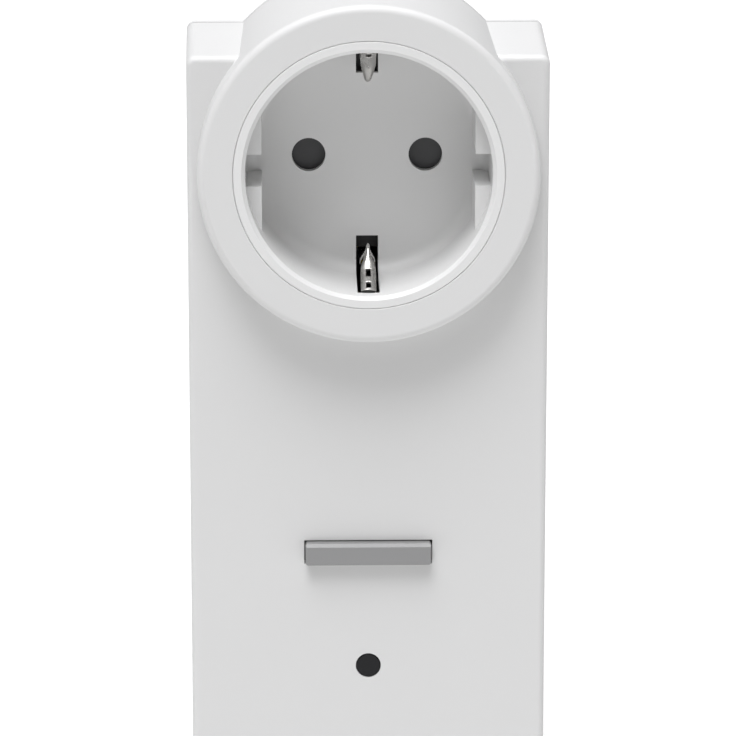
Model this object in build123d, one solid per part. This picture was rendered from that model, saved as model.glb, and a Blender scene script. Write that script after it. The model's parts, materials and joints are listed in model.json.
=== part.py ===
from build123d import *
import math
import os

# A plug-in metering adaptor: an earthed wall plug at the back, an earthed socket in a round collar at the
# front, and the measuring and switching electronics in the body below them.
# Millimetres. +Z up, +Y into the wall, +X to the right seen from the front.
# The origin is the centre of the plug's end face, midway between its two pins.

# ---- driving dimensions -------------------------------------------------------------------------------
PIN_PITCH = 19.0
PIN_R = 2.4
PIN_LENGTH = 19.0
PIN_SEAT_R = 2.6           # the pin's thicker seat inside the end wall
RECESS_DEPTH = 17.5        # depth of an earthed socket, and so the length of the plug boss too
RECESS_R = 19.75
COLLAR_R = 27.4
COLLAR_OUT = 7.0           # how far the collar stands in front of the body
BODY_DEPTH = 32.0
HALF_WIDTH = 29.05         # at the front face
DRAFT = 0.55               # how much each side grows from the front face to the back face
TOP_Z = 18.1
BOTTOM_Z = -103.2
CORNER_R = 1.5
EDGE_R = 1.0
WALL = 2.0
FIT = 0.1                  # gap between pieces that are assembled
TOUCH_GAP = 0.05           # gap between pieces that push each other

# ---- stations along Y ---------------------------------------------------------------------------------
Y_WALL = -RECESS_DEPTH                 # back face of the body
Y_FRONT = Y_WALL - BODY_DEPTH          # front face of the body
Y_RIM = Y_FRONT - COLLAR_OUT           # front face of the collar
Y_FLOOR = Y_RIM + RECESS_DEPTH         # floor of the socket
Y_PARTING = Y_WALL - 3.0               # where the front shell ends and the rear cover begins
Y_COVER = Y_WALL - WALL                # inner face of the rear cover
Y_INSIDE = Y_FRONT + WALL              # inner face of the front wall

# ---- housing ------------------------------------------------------------------------------------------
COLLAR_EDGE_R = 1.2
SEAM_GAP = 0.05                        # between the collar and the socket's cup
SEAM_CHAMFER = 0.12
GROOVE = 0.4                           # width of the shadow line along the parting
LIP_T = 1.2
LIP_DEEP = 2.0
SCREW_X = 23.0
SCREW_Z = (12.0, -97.0)
SCREW_R = 1.4
SCREW_HEAD_R = 2.7
SCREW_HEAD_T = 1.8
SCREW_LENGTH = 16.0
BOSS_R = 3.0

# ---- plug boss ----------------------------------------------------------------------------------------
PLUG_R = 18.5
PLUG_FLAT_X = 16.6
PLUG_RIB_HALF = 2.3
PLUG_END_T = 3.0
PLUG_HOLLOW_R = 15.0
EARTH_HALF_W = 2.2                     # half width of the plug's earth strap
EARTH_T = 0.8
EARTH_Z = 17.4                         # outer face of the strap on the boss

# ---- socket -------------------------------------------------------------------------------------------
INSERT_R = 21.65
FLANGE_R = 23.4
FLANGE_T = 1.5
FLOOR_T = 1.5
FLOOR_FILLET = 2.2
LEAD_IN = 0.6
CHEEK_X = 17.1                         # the flats at the two sides of the recess
CHEEK_DEEP = 4.7                       # how far the flats start behind the rim
NOTCH_HALF = 2.6
PIN_HOLE_R = 2.75
SLOT_HALF_W = 1.8
SLOT_Z = (13.5, 22.2)
SLOT_START = 3.0                       # how far behind the rim the earth slots start
POST_R = 2.0
SHUTTER_R = 13.2
SHUTTER_T = 1.8
SHUTTER_TURN = 38.0                    # degrees from covering the holes to clearing them
CLIP_T = 0.6
CLIP_HALF_W = 1.25
CLIP_GAP_HALF = 0.55                   # half width of the openings between a clip's legs
CARRIER_R = 18.6
CARRIER_T = 3.0
CARRIER_LUG = 11.5                     # the two fixing lugs sit on a diagonal, this far along X and Z
FLOOR_SKIN = 0.8                       # left in front of the lugs' blind holes
LUG_R = 2.3
COVERED_SCREW_R = 1.1
CHAMBER_HALF = 4.0
CHAMBER_WALL = 1.2

Y_FLOOR_BACK = Y_FLOOR + FLOOR_T
Y_SHUTTER = (Y_FLOOR_BACK + 0.2, Y_FLOOR_BACK + 0.2 + SHUTTER_T)
Y_CARRIER = (Y_SHUTTER[1] + 0.3, Y_SHUTTER[1] + 0.3 + CARRIER_T)
Y_CHAMBER = Y_COVER - 2.0              # back of the contact chambers
POCKET_R = 4.6
POCKET_DEEP = 2.2

# ---- button and indicator -----------------------------------------------------------------------------
BUTTON_Z = -64.3
BUTTON_HALF_W = 10.3
BUTTON_HALF_H = 1.8
BUTTON_OUT = 1.9
BUTTON_GAP = 0.2
BUTTON_BEVEL = 0.5                     # along the top of its front
BUTTON_EDGE = 0.2
BUTTON_CORNER_R = 0.5
BUTTON_FLANGE = 1.3
BUTTON_FLANGE_T = 1.0
BUTTON_TRAVEL = 0.5
LENS_Z = -83.85
LENS_R = 2.02

# ---- boards -------------------------------------------------------------------------------------------
BOARD_T = 1.6
Y_MAIN = (Y_COVER - 5.1, Y_COVER - 5.1 + BOARD_T)
MAIN_X = 25.0
MAIN_Z = (-100.0, -30.0)
Y_CONTROL = (Y_INSIDE + 6.5, Y_INSIDE + 6.5 + BOARD_T)
CONTROL_X = 16.5
CONTROL_Z = (-93.0, -57.0)
PILLAR_R = 2.4
BOARD_SCREW_R = 1.1
MAIN_SCREWS = ((-21.5, -53.5), (21.5, -34.0), (0.0, -96.0))
CONTROL_SCREWS = ((-13.8, -59.7), (13.8, -59.7), (-13.8, -90.3), (13.8, -90.3))
SWITCH_HALF = 3.0
SWITCH_T = 3.4
PLUNGER_R = 1.7
PLUNGER_OUT = 1.0
WIRE_R = 1.1
TERMINAL_Z = (-33.0, -30.4)
LINE_OUT_X = 2.5
TAB_X = 8.0                            # tab of the line contact, beside the incoming wire


# ---- shapes used by many pieces -----------------------------------------------------------------------
def block(x, y, z):
    """Box between two limits on each axis."""
    middle = [(low + high) / 2 for low, high in (x, y, z)]
    size = [high - low for low, high in (x, y, z)]
    return Pos(*middle) * Box(*size)


def drum(radius, y, x=0.0, z=0.0):
    """Cylinder along Y between two stations."""
    return Pos(x, (y[0] + y[1]) / 2, z) * Rot(90, 0, 0) * Cylinder(radius, y[1] - y[0])


def group(shapes):
    """Several separate solids kept as one node."""
    return Compound(children=[solid for shape in shapes for solid in shape.solids()])


def rim_edges(shape, y, radius):
    """The circular edges of one radius at one station."""
    circles = shape.edges().filter_by(GeomType.CIRCLE)
    return [e for e in circles if abs(e.radius - radius) < 0.01 and abs(e.arc_center.Y - y) < 0.01]


def outline(y, inset):
    """Rounded rectangle of the body at one station, inset from its outside."""
    grow = DRAFT * (y - Y_FRONT) / BODY_DEPTH - inset
    top, bottom = TOP_Z + grow, BOTTOM_Z - grow
    plane = Plane(origin=(0, y, (top + bottom) / 2), x_dir=(1, 0, 0), z_dir=(0, -1, 0))
    corner = max(CORNER_R - inset, 0.5)
    return plane * RectangleRounded(2 * (HALF_WIDTH + grow), top - bottom, corner)


def slab(y, inset=0.0):
    """The tapered body block between two stations."""
    return loft([outline(y[0], inset), outline(y[1], inset)])


def housing(y, inset=0.0):
    """The body block together with the drum of the collar."""
    return slab(y, inset) + drum(COLLAR_R - inset, y)


def strip(points, thick, width, plane=Plane.YZ):
    """Bent sheet strip whose line lies in the plane and whose width stands across it."""
    profile = Sketch()
    for (u0, v0), (u1, v1) in zip(points, points[1:]):
        length = math.hypot(u1 - u0, v1 - v0)
        turn = math.degrees(math.atan2(v1 - v0, u1 - u0))
        profile += Pos((u0 + u1) / 2, (v0 + v1) / 2) * Rot(0, 0, turn) * Rectangle(length, thick)
    for u, v in points[1:-1]:
        profile += Pos(u, v) * Circle(thick / 2)
    return extrude(plane * profile, amount=width / 2, both=True)


def tube(points, radius):
    """Round wire of straight runs, with an arc at each corner as gentle as its two runs allow."""
    bends = []
    for before, corner, after in zip(points, points[1:], points[2:]):
        run_in = Vector(*corner) - Vector(*before)
        run_out = Vector(*after) - Vector(*corner)
        half_turn = math.radians(run_in.get_angle(run_out)) / 2
        bends.append(0.45 * min(run_in.length, run_out.length) / math.tan(half_turn))
    path = FilletPolyline(*points, radius=bends)
    return sweep(Plane(origin=path @ 0, z_dir=path % 0) * Circle(radius), path)


def screw(x, z, y_head, y_tip, shank_r, head_r, head_t):
    """Pan head screw with a cross recess; the head lies outside the seat at y_head."""
    out = 1 if y_head > y_tip else -1
    head_y = sorted((y_head, y_head + out * head_t))
    shape = drum(head_r, head_y, x, z) + drum(shank_r, sorted((y_tip, y_head)), x, z)
    arm, half = head_r * 0.55, head_r * 0.13
    recess_y = sorted((y_head + out * head_t * 0.35, y_head + out * head_t))
    shape -= block((x - arm, x + arm), recess_y, (z - half, z + half))
    shape -= block((x - half, x + half), recess_y, (z - arm, z + arm))
    return shape


# ---- housing ------------------------------------------------------------------------------------------
def front_shell():
    body = slab((Y_FRONT, Y_PARTING))
    body = fillet(body.faces().sort_by(Axis.Y)[0].edges(), EDGE_R)
    collar = drum(COLLAR_R, (Y_RIM, Y_PARTING))
    collar = fillet(rim_edges(collar, Y_RIM, COLLAR_R), COLLAR_EDGE_R)
    shell = body + collar
    shell -= slab((Y_INSIDE, Y_PARTING), WALL) + drum(COLLAR_R - WALL, (Y_RIM + WALL, Y_PARTING))
    hole_r = INSERT_R + SEAM_GAP
    shell -= drum(hole_r, (Y_RIM, Y_RIM + WALL))
    shell = chamfer(rim_edges(shell, Y_RIM, hole_r), SEAM_CHAMFER)
    half_w, half_h = BUTTON_HALF_W + BUTTON_GAP, BUTTON_HALF_H + BUTTON_GAP
    shell -= block((-half_w, half_w), (Y_FRONT, Y_INSIDE), (BUTTON_Z - half_h, BUTTON_Z + half_h))
    shell -= drum(LENS_R + TOUCH_GAP, (Y_FRONT, Y_INSIDE), 0, LENS_Z)
    for x in (-SCREW_X, SCREW_X):
        for z in SCREW_Z:
            end = Y_PARTING - LIP_DEEP - FIT
            shell += drum(BOSS_R, (Y_INSIDE, end), x, z)
            shell -= drum(SCREW_R, (end - SCREW_LENGTH + 2, end), x, z)
    for x, z in CONTROL_SCREWS:
        shell += drum(PILLAR_R, (Y_INSIDE, Y_CONTROL[0]), x, z)
        shell -= drum(BOARD_SCREW_R, (Y_INSIDE + 1, Y_CONTROL[0]), x, z)
    return shell


def plug_boss():
    """The plug's moulded body: a disc with flats at its sides and a guide rib on each flat."""
    boss = drum(PLUG_R, (Y_WALL, 0))
    boss = fillet(rim_edges(boss, 0, PLUG_R), EDGE_R)
    for side in (-1, 1):
        flat_x = sorted((side * PLUG_FLAT_X, side * PLUG_R))
        for z in ((-PLUG_R, -PLUG_RIB_HALF), (PLUG_RIB_HALF, PLUG_R)):
            boss -= block(flat_x, (Y_WALL, 0), z)
        slot_z = sorted((side * (EARTH_Z - EARTH_T), side * PLUG_R))
        boss -= block((-EARTH_HALF_W - FIT, EARTH_HALF_W + FIT), (Y_WALL, -EDGE_R), slot_z)
    return boss


def rear_cover():
    """Back plate, with a lip inside the front shell and the plug boss on its outside."""
    edge = slab((Y_PARTING + GROOVE, Y_WALL))
    edge = fillet(edge.faces().sort_by(Axis.Y)[-1].edges(), EDGE_R)
    disc = drum(COLLAR_R, (Y_PARTING + GROOVE, Y_WALL))
    disc = fillet(rim_edges(disc, Y_WALL, COLLAR_R), EDGE_R)
    cover = edge + disc + housing((Y_PARTING, Y_PARTING + GROOVE), GROOVE)
    y_lip = Y_PARTING - LIP_DEEP
    cover += housing((y_lip, Y_PARTING), WALL + FIT)
    cover -= housing((y_lip, Y_COVER), WALL + FIT + LIP_T)
    cover += plug_boss()
    hollow = drum(PLUG_HOLLOW_R, (Y_COVER, -PLUG_END_T))
    hollow &= block((-PLUG_FLAT_X + WALL, PLUG_FLAT_X - WALL), (Y_COVER, 0), (-PLUG_R, PLUG_R))
    cover -= hollow
    for side in (-1, 1):
        cover -= drum(PIN_SEAT_R, (-PLUG_END_T, 0), side * PIN_PITCH / 2)
        slit_z = sorted((side * (EARTH_Z - EARTH_T), side * EARTH_Z))
        cover -= block((-EARTH_HALF_W, EARTH_HALF_W), (Y_COVER, Y_WALL), slit_z)
        for z in SCREW_Z:
            x = side * SCREW_X
            seat = Y_WALL - SCREW_HEAD_T - 0.3
            cover += drum(BOSS_R, (y_lip, Y_COVER), x, z)
            cover -= drum(SCREW_HEAD_R + 0.2, (seat, Y_WALL), x, z)
            cover -= drum(SCREW_R + 0.2, (y_lip, seat), x, z)
    for x, z in MAIN_SCREWS:
        cover += drum(PILLAR_R, (Y_MAIN[1], Y_COVER), x, z)
        cover -= drum(BOARD_SCREW_R, (Y_MAIN[1], Y_COVER + 0.8), x, z)
    return cover


def housing_screws():
    seat = Y_WALL - SCREW_HEAD_T - 0.3
    return group(
        screw(x, z, seat, seat - SCREW_LENGTH, SCREW_R, SCREW_HEAD_R, SCREW_HEAD_T)
        for x in (-SCREW_X, SCREW_X)
        for z in SCREW_Z
    )


# ---- plug ---------------------------------------------------------------------------------------------
def plug_pin(side):
    """Round pin with a shoulder behind the plug's end wall and a rivet end for its strap."""
    x = side * PIN_PITCH / 2
    pin = drum(PIN_R, (0, PIN_LENGTH), x)
    pin = fillet(rim_edges(pin, PIN_LENGTH, PIN_R), PIN_R * 0.7)
    pin += drum(PIN_SEAT_R, (-PLUG_END_T, 0), x)
    pin += drum(PIN_R + 1.0, (-PLUG_END_T - 2, -PLUG_END_T), x)
    return pin + drum(PIN_R * 0.6, (-PLUG_END_T - 4, -PLUG_END_T - 2), x)


def plug_earth_strap():
    """One strap across the inside of the cover, with a leg on the top and the bottom of the boss."""
    mid = EARTH_Z - EARTH_T / 2
    bar = Y_COVER - EARTH_T / 2 - FIT
    return strip([(-2.0, mid), (bar, mid), (bar, -mid), (-2.0, -mid)], EARTH_T, 2 * EARTH_HALF_W)


def pin_terminal(side):
    """Ring clamped on a pin's rivet end, with a tail that takes the wire."""
    x, y = side * PIN_PITCH / 2, (-PLUG_END_T - 3.0, -PLUG_END_T - 2)
    tail = block((x - 1.5, x + 1.5), y, (-6.5, 0))
    return drum(PIN_R + 0.8, y, x) + tail - drum(PIN_R * 0.6, y, x)


# ---- socket -------------------------------------------------------------------------------------------
def socket_insert():
    """Cup of the socket, put in from behind and stopped by a flange; lugs behind it take the carrier."""
    cup = drum(INSERT_R, (Y_RIM, Y_RIM + WALL))
    cup += drum(FLANGE_R, (Y_RIM + WALL, Y_RIM + WALL + FLANGE_T))
    cup += drum(INSERT_R - 0.25, (Y_RIM + WALL + FLANGE_T, Y_FLOOR_BACK))
    cup = chamfer(rim_edges(cup, Y_RIM, INSERT_R), SEAM_CHAMFER)
    recess = drum(RECESS_R, (Y_RIM, Y_FLOOR))
    recess = fillet(rim_edges(recess, Y_FLOOR, RECESS_R), FLOOR_FILLET)
    for side in (-1, 1):
        cheek_x = sorted((side * CHEEK_X, side * RECESS_R))
        for z in ((-RECESS_R, -NOTCH_HALF), (NOTCH_HALF, RECESS_R)):
            recess -= block(cheek_x, (Y_RIM + CHEEK_DEEP, Y_FLOOR), z)
    cup -= recess
    cup = chamfer(rim_edges(cup, Y_RIM, RECESS_R), LEAD_IN)
    for side in (-1, 1):
        cup -= drum(PIN_HOLE_R, (Y_FLOOR, Y_FLOOR_BACK), side * PIN_PITCH / 2)
        slot_z = sorted(side * z for z in SLOT_Z)
        cup -= block((-SLOT_HALF_W, SLOT_HALF_W), (Y_RIM + SLOT_START, Y_FLOOR_BACK), slot_z)
        lug = side * CARRIER_LUG
        cup += drum(LUG_R, (Y_FLOOR_BACK, Y_CARRIER[0]), lug, lug)
        cup -= drum(COVERED_SCREW_R, (Y_FLOOR + FLOOR_SKIN, Y_CARRIER[0]), lug, lug)
    return cup + drum(POST_R, (Y_FLOOR_BACK, Y_CARRIER[0] + 1.0))


def shutter():
    """Disc that covers both pin holes, with two holes of its own that line up once it has turned."""
    disc = drum(SHUTTER_R, Y_SHUTTER) - drum(POST_R + 0.06, Y_SHUTTER)
    for turn in (SHUTTER_TURN, SHUTTER_TURN + 180):
        x = PIN_PITCH / 2 * math.cos(math.radians(turn))
        z = PIN_PITCH / 2 * math.sin(math.radians(turn))
        disc -= drum(PIN_HOLE_R, Y_SHUTTER, x, z)
    return disc


def shutter_spring():
    """Small torsion spring round the post, in a pocket of the contact carrier."""
    wire_r, coil_r, pitch, turns = 0.22, 3.2, 0.6, 2.5
    helix = Helix(pitch=pitch, height=pitch * turns, radius=coil_r)
    start = Plane(origin=helix @ 0, z_dir=helix % 0)
    coil = sweep(start * Circle(wire_r), helix, is_frenet=True)
    return Pos(0, Y_CARRIER[0] + 0.1 + wire_r, 0) * Rot(-90, 0, 0) * coil


def contact_carrier():
    """Plate behind the shutter, on the insert's lugs, with a chamber for each contact."""
    plate = drum(CARRIER_R, Y_CARRIER)
    for side in (-1, 1):
        x = side * PIN_PITCH / 2
        box_x = (x - CHAMBER_HALF, x + CHAMBER_HALF)
        plate += block(box_x, (Y_CARRIER[1], Y_CHAMBER), (-CHAMBER_HALF, CHAMBER_HALF))
    half = CHAMBER_HALF - CHAMBER_WALL
    for side in (-1, 1):
        x = side * PIN_PITCH / 2
        plate -= drum(PIN_HOLE_R, Y_CARRIER, x)
        plate -= block((x - half, x + half), (Y_CARRIER[1] - 1, Y_CHAMBER), (-half, half))
        lug = side * CARRIER_LUG
        plate -= drum(COVERED_SCREW_R, Y_CARRIER, lug, lug)
        notch_z = sorted((side * (EARTH_Z - 1.2), side * CARRIER_R))
        plate -= block((-2.0, 2.0), Y_CARRIER, notch_z)
    plate -= drum(POCKET_R, (Y_CARRIER[0], Y_CARRIER[0] + POCKET_DEEP))
    return plate


def carrier_screws():
    lugs = (-CARRIER_LUG, CARRIER_LUG)
    tip = Y_FLOOR + FLOOR_SKIN + FIT
    return group(screw(at, at, Y_CARRIER[1], tip, COVERED_SCREW_R, 2.0, 1.2) for at in lugs)


def earth_clip(side):
    """Sprung earth strip: two legs near the rim, a narrow nose, then back through the floor."""
    foot_y = Y_COVER - FIT - EARTH_T - CLIP_T / 2
    legs_y, nose_y, back_y = Y_RIM + 9.2, Y_RIM + 12.2, Y_RIM + 14.8
    line = [(Y_RIM + SLOT_START + 0.4, 19.8), (legs_y, 17.2), (nose_y, 13.9), (back_y, 17.5),
            (foot_y, 17.5), (foot_y, 12.5)]
    wide, shoulder, narrow = CLIP_HALF_W, 1.05, 0.4
    half = [(wide, Y_RIM), (wide, legs_y + 0.4), (shoulder, legs_y + 1.7), (narrow, nose_y - 0.4),
            (narrow, nose_y + 0.6), (wide, back_y), (wide, Y_COVER)]
    plan = Polyline(*half, *[(-x, y) for x, y in reversed(half)], close=True)
    clip = strip(line, CLIP_T, 2 * wide + 1) & extrude(make_face(plan), amount=RECESS_R + 1)
    for y in ((Y_RIM + 4.3, Y_RIM + 5.4), (Y_RIM + 6.7, Y_RIM + 8.6)):
        clip -= block((-CLIP_GAP_HALF, CLIP_GAP_HALF), y, (SLOT_Z[0], RECESS_R + 1))
    return clip if side > 0 else mirror(clip, Plane.XY)


def tulip(x, y_back):
    """Two leaves that pinch a plug pin, joined by a bridge at the back; the strap runs on to y_back."""
    mouth, throat, bridge = Y_CARRIER[1] + 0.4, Y_CARRIER[1] + 2.2, Y_CHAMBER - 1.0
    leaf = [(2.5, mouth), (1.9, throat), (2.4, throat + 2.5), (2.4, bridge)]
    left = [(x - u, y) for u, y in leaf]
    right = [(x + u, y) for u, y in reversed(leaf)]
    clip = strip(left + right, 0.5, 4.6, Plane.XY)
    return clip + block((x - 2.2, x + 2.2), (bridge, y_back), (-0.4, 0.4))


def neutral_contact():
    """Its strap reaches the neutral pin's shoulder, so neutral goes straight through."""
    return tulip(-PIN_PITCH / 2, -PLUG_END_T - 4.2)


def line_contact():
    """Its strap ends in a short tab for the switched wire."""
    x, y = PIN_PITCH / 2, Y_CHAMBER + 1.5
    return tulip(x, y) + block((TAB_X - 1.2, x), (y - 0.8, y), (-5.2, 0))


# ---- button and indicator -----------------------------------------------------------------------------
def button():
    """Bar bevelled along its top, a flange that keeps it in the slot, and a stem onto the switch."""
    y_out, y_back = Y_FRONT - BUTTON_OUT, Y_INSIDE + FIT
    low, high = BUTTON_Z - BUTTON_HALF_H, BUTTON_Z + BUTTON_HALF_H
    side = Polyline((y_back, low), (y_out + BUTTON_EDGE, low), (y_out, low + BUTTON_EDGE),
                    (y_out, high - BUTTON_BEVEL), (y_out + BUTTON_BEVEL, high), (y_back, high), close=True)
    bar = extrude(Plane.YZ * make_face(side), amount=BUTTON_HALF_W, both=True)
    edge_x = BUTTON_HALF_W - BUTTON_EDGE
    plan = Polyline((-edge_x, y_out), (edge_x, y_out), (BUTTON_HALF_W, y_out + BUTTON_EDGE),
                    (BUTTON_HALF_W, y_back), (-BUTTON_HALF_W, y_back), (-BUTTON_HALF_W, y_out + BUTTON_EDGE),
                    close=True)
    bar &= Pos(0, 0, low) * extrude(make_face(plan), amount=high - low)
    front = Plane(origin=(0, y_back, BUTTON_Z), x_dir=(1, 0, 0), z_dir=(0, -1, 0))
    face = RectangleRounded(2 * BUTTON_HALF_W, 2 * BUTTON_HALF_H, BUTTON_CORNER_R)
    bar &= extrude(front * face, amount=y_back - y_out)
    y_flange = y_back + BUTTON_FLANGE_T
    flange_x = BUTTON_HALF_W + BUTTON_FLANGE
    bar += block((-flange_x, flange_x), (y_back, y_flange), (low - BUTTON_FLANGE, high + BUTTON_FLANGE))
    plunger_top = Y_CONTROL[0] - SWITCH_T - PLUNGER_OUT
    return bar + drum(PLUNGER_R + 0.4, (y_flange, plunger_top - TOUCH_GAP), 0, BUTTON_Z)


def indicator_lens():
    """Round window with a flange behind the front wall and a light guide towards the lamp."""
    lens = drum(LENS_R, (Y_FRONT, Y_INSIDE), 0, LENS_Z)
    lens = fillet(rim_edges(lens, Y_FRONT, LENS_R), 0.25)
    lens += drum(LENS_R + 1.2, (Y_INSIDE, Y_INSIDE + 1.0), 0, LENS_Z)
    return lens + drum(LENS_R - 0.2, (Y_INSIDE + 1.0, Y_CONTROL[0] - 3.4), 0, LENS_Z)


def status_lamp():
    """Round lamp standing on the control board."""
    lamp = drum(1.5, (Y_CONTROL[0] - 3.0, Y_CONTROL[0]), 0, LENS_Z)
    lamp = fillet(rim_edges(lamp, Y_CONTROL[0] - 3.0, 1.5), 1.2)
    return lamp + drum(1.9, (Y_CONTROL[0] - 0.8, Y_CONTROL[0]), 0, LENS_Z)


def tact_switch():
    y = (Y_CONTROL[0] - SWITCH_T, Y_CONTROL[0])
    z = (BUTTON_Z - SWITCH_HALF, BUTTON_Z + SWITCH_HALF)
    case = block((-SWITCH_HALF, SWITCH_HALF), y, z)
    bore = (y[0], y[0] + PLUNGER_OUT + BUTTON_TRAVEL + 0.6)
    return case - drum(PLUNGER_R + TOUCH_GAP, bore, 0, BUTTON_Z)


def switch_plunger():
    top = Y_CONTROL[0] - SWITCH_T - PLUNGER_OUT
    return drum(PLUNGER_R, (top, top + 2 * PLUNGER_OUT + 0.4), 0, BUTTON_Z)


# ---- boards -------------------------------------------------------------------------------------------
def main_board():
    """Power board across the body, on the cover's pillars."""
    board = block((-MAIN_X, MAIN_X), Y_MAIN, MAIN_Z)
    for x in (-SCREW_X, SCREW_X):
        board -= drum(BOSS_R + 1, Y_MAIN, x, SCREW_Z[1])
    for x, z in MAIN_SCREWS:
        board -= drum(BOARD_SCREW_R, Y_MAIN, x, z)
    return board


def control_board():
    """Small board behind the button, the radio and the indicator."""
    board = block((-CONTROL_X, CONTROL_X), Y_CONTROL, CONTROL_Z)
    for x, z in CONTROL_SCREWS:
        board -= drum(BOARD_SCREW_R, Y_CONTROL, x, z)
    return board


def main_board_screws():
    seat = Y_MAIN[0]
    return group(screw(x, z, seat, Y_COVER + 0.6, BOARD_SCREW_R, 2.2, 1.4) for x, z in MAIN_SCREWS)


def control_board_screws():
    seat = Y_CONTROL[1]
    return group(screw(x, z, seat, Y_INSIDE + 1.4, BOARD_SCREW_R, 2.0, 1.2) for x, z in CONTROL_SCREWS)


def insulation_sheet():
    """Thin sheet between the board's joints and the cover."""
    y = (Y_COVER - 0.6, Y_COVER - 0.3)
    sheet = block((-22.0, 22.0), y, (-92.5, -31.0))
    for x, z in MAIN_SCREWS:
        sheet -= drum(PILLAR_R + 0.3, y, x, z)
    return sheet


def on_main(x, z, height, lift=0.0):
    """Box standing on the front of the main board."""
    return block(x, (Y_MAIN[0] - lift - height, Y_MAIN[0] - lift), z)


def on_control(x, z, height, lift=0.0):
    """Box standing on the front of the control board."""
    return block(x, (Y_CONTROL[0] - lift - height, Y_CONTROL[0] - lift), z)


# ---- relay --------------------------------------------------------------------------------------------
RELAY_X = (-22.0, -3.0)
RELAY_Z = (-49.5, -34.0)
RELAY_H = 15.5
RELAY_SKIN = 0.8
RELAY_BASE_T = 1.6
RELAY_MID_Z = sum(RELAY_Z) / 2
Y_RELAY = Y_MAIN[0] - RELAY_BASE_T     # top of the relay's base
COIL_X = -15.0
COIL_R = 4.4
CORE_R = 2.0
YOKE_X = (-8.8, -7.8)
YOKE_H = 10.4
YOKE_HALF = 4.0
ARMATURE_GAP = 0.5
ARMATURE_T = 0.8
Y_POLE = Y_RELAY - YOKE_H              # face of the core that pulls the armature
ARMATURE_X = (-19.5, -7.4)


def relay_case():
    case = on_main(RELAY_X, RELAY_Z, RELAY_H)
    inner_x = (RELAY_X[0] + RELAY_SKIN, RELAY_X[1] - RELAY_SKIN)
    inner_z = (RELAY_Z[0] + RELAY_SKIN, RELAY_Z[1] - RELAY_SKIN)
    case = fillet(case.edges().filter_by(Axis.Y), 0.5)
    return case - on_main(inner_x, inner_z, RELAY_H - RELAY_SKIN)


def relay_base():
    inner = RELAY_SKIN + TOUCH_GAP
    x = (RELAY_X[0] + inner, RELAY_X[1] - inner)
    return on_main(x, (RELAY_Z[0] + inner, RELAY_Z[1] - inner), RELAY_BASE_T)


def relay_yoke():
    """Iron frame of the coil: foot, upright and core in one riveted piece."""
    z = (RELAY_MID_Z - YOKE_HALF, RELAY_MID_Z + YOKE_HALF)
    foot = block((COIL_X - COIL_R, YOKE_X[1]), (Y_RELAY - 1.0, Y_RELAY), z)
    upright = block(YOKE_X, (Y_POLE, Y_RELAY), z)
    return foot + upright + drum(CORE_R, (Y_POLE, Y_RELAY), COIL_X, RELAY_MID_Z)


def relay_bobbin():
    """Plastic spool of the coil."""
    low, high = Y_RELAY - 1.0, Y_POLE + 0.4
    spool = drum(CORE_R + 0.7, (high, low), COIL_X, RELAY_MID_Z)
    for y in ((low - 0.7, low), (high, high + 0.7)):
        spool += drum(COIL_R + 0.6, y, COIL_X, RELAY_MID_Z)
    return spool - drum(CORE_R, (high, low), COIL_X, RELAY_MID_Z)


def relay_coil():
    y = (Y_POLE + 1.1, Y_RELAY - 1.7)
    return drum(COIL_R, y, COIL_X, RELAY_MID_Z) - drum(CORE_R + 0.7, y, COIL_X, RELAY_MID_Z)


def relay_armature():
    """Iron plate that rocks on the upright, with a contact leaf at its free end."""
    y = (Y_POLE - ARMATURE_GAP - ARMATURE_T, Y_POLE - ARMATURE_GAP)
    plate = block(ARMATURE_X, y, (RELAY_MID_Z - YOKE_HALF, RELAY_MID_Z + YOKE_HALF))
    return plate + drum(0.9, (y[0] - 0.5, y[0]), ARMATURE_X[0] + 1.2, RELAY_MID_Z)


def relay_contact():
    """Fixed contact on a post beside the armature's free end."""
    x = (RELAY_X[0] + 0.9, ARMATURE_X[0] - 0.6)
    z = (RELAY_MID_Z - 1.5, RELAY_MID_Z + 1.5)
    top = Y_POLE - ARMATURE_GAP - ARMATURE_T - 0.8
    post = block(x, (top - 0.5, Y_RELAY), z)
    return post + block((x[0], ARMATURE_X[0] + 2.4), (top - 0.5, top), z)


# ---- parts on the main board --------------------------------------------------------------------------
CAP_R = 5.0
CAP_H = 13.0
CAP_SPOTS = ((17.5, -72.0), (17.5, -84.0))


def film_capacitor():
    body = on_main((3.0, 20.0), (-47.0, -38.5), 14.0)
    return fillet(body.edges().filter_by(Axis.Y), 0.6)


def varistor():
    """Coated disc standing on edge."""
    x, z, r = 7.5, (-53.8, -49.8), 5.5
    disc = Pos(x, Y_MAIN[0] - r - 1.5, sum(z) / 2) * Cylinder(r, z[1] - z[0])
    return fillet(disc.edges(), 1.2)


def varistor_leads():
    leads = (block((x - 0.4, x + 0.4), (Y_MAIN[0] - 2.4, Y_MAIN[0]), (-52.2, -51.4)) for x in (4.4, 10.6))
    return group(lead - varistor() for lead in leads)


FUSE_X = (-6.0, 14.0)
FUSE_Z = -58.5
FUSE_R = 2.5
FUSE_CAP = 5.0
Y_FUSE = Y_MAIN[0] - FUSE_R - 1.0


def fuse_tube():
    """Glass tube between the two end caps."""
    mid = (FUSE_X[0] + FUSE_X[1]) / 2
    length = FUSE_X[1] - FUSE_X[0] - 2 * FUSE_CAP
    return Pos(mid, Y_FUSE, FUSE_Z) * Rot(0, 90, 0) * Cylinder(FUSE_R - 0.2, length)


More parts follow.
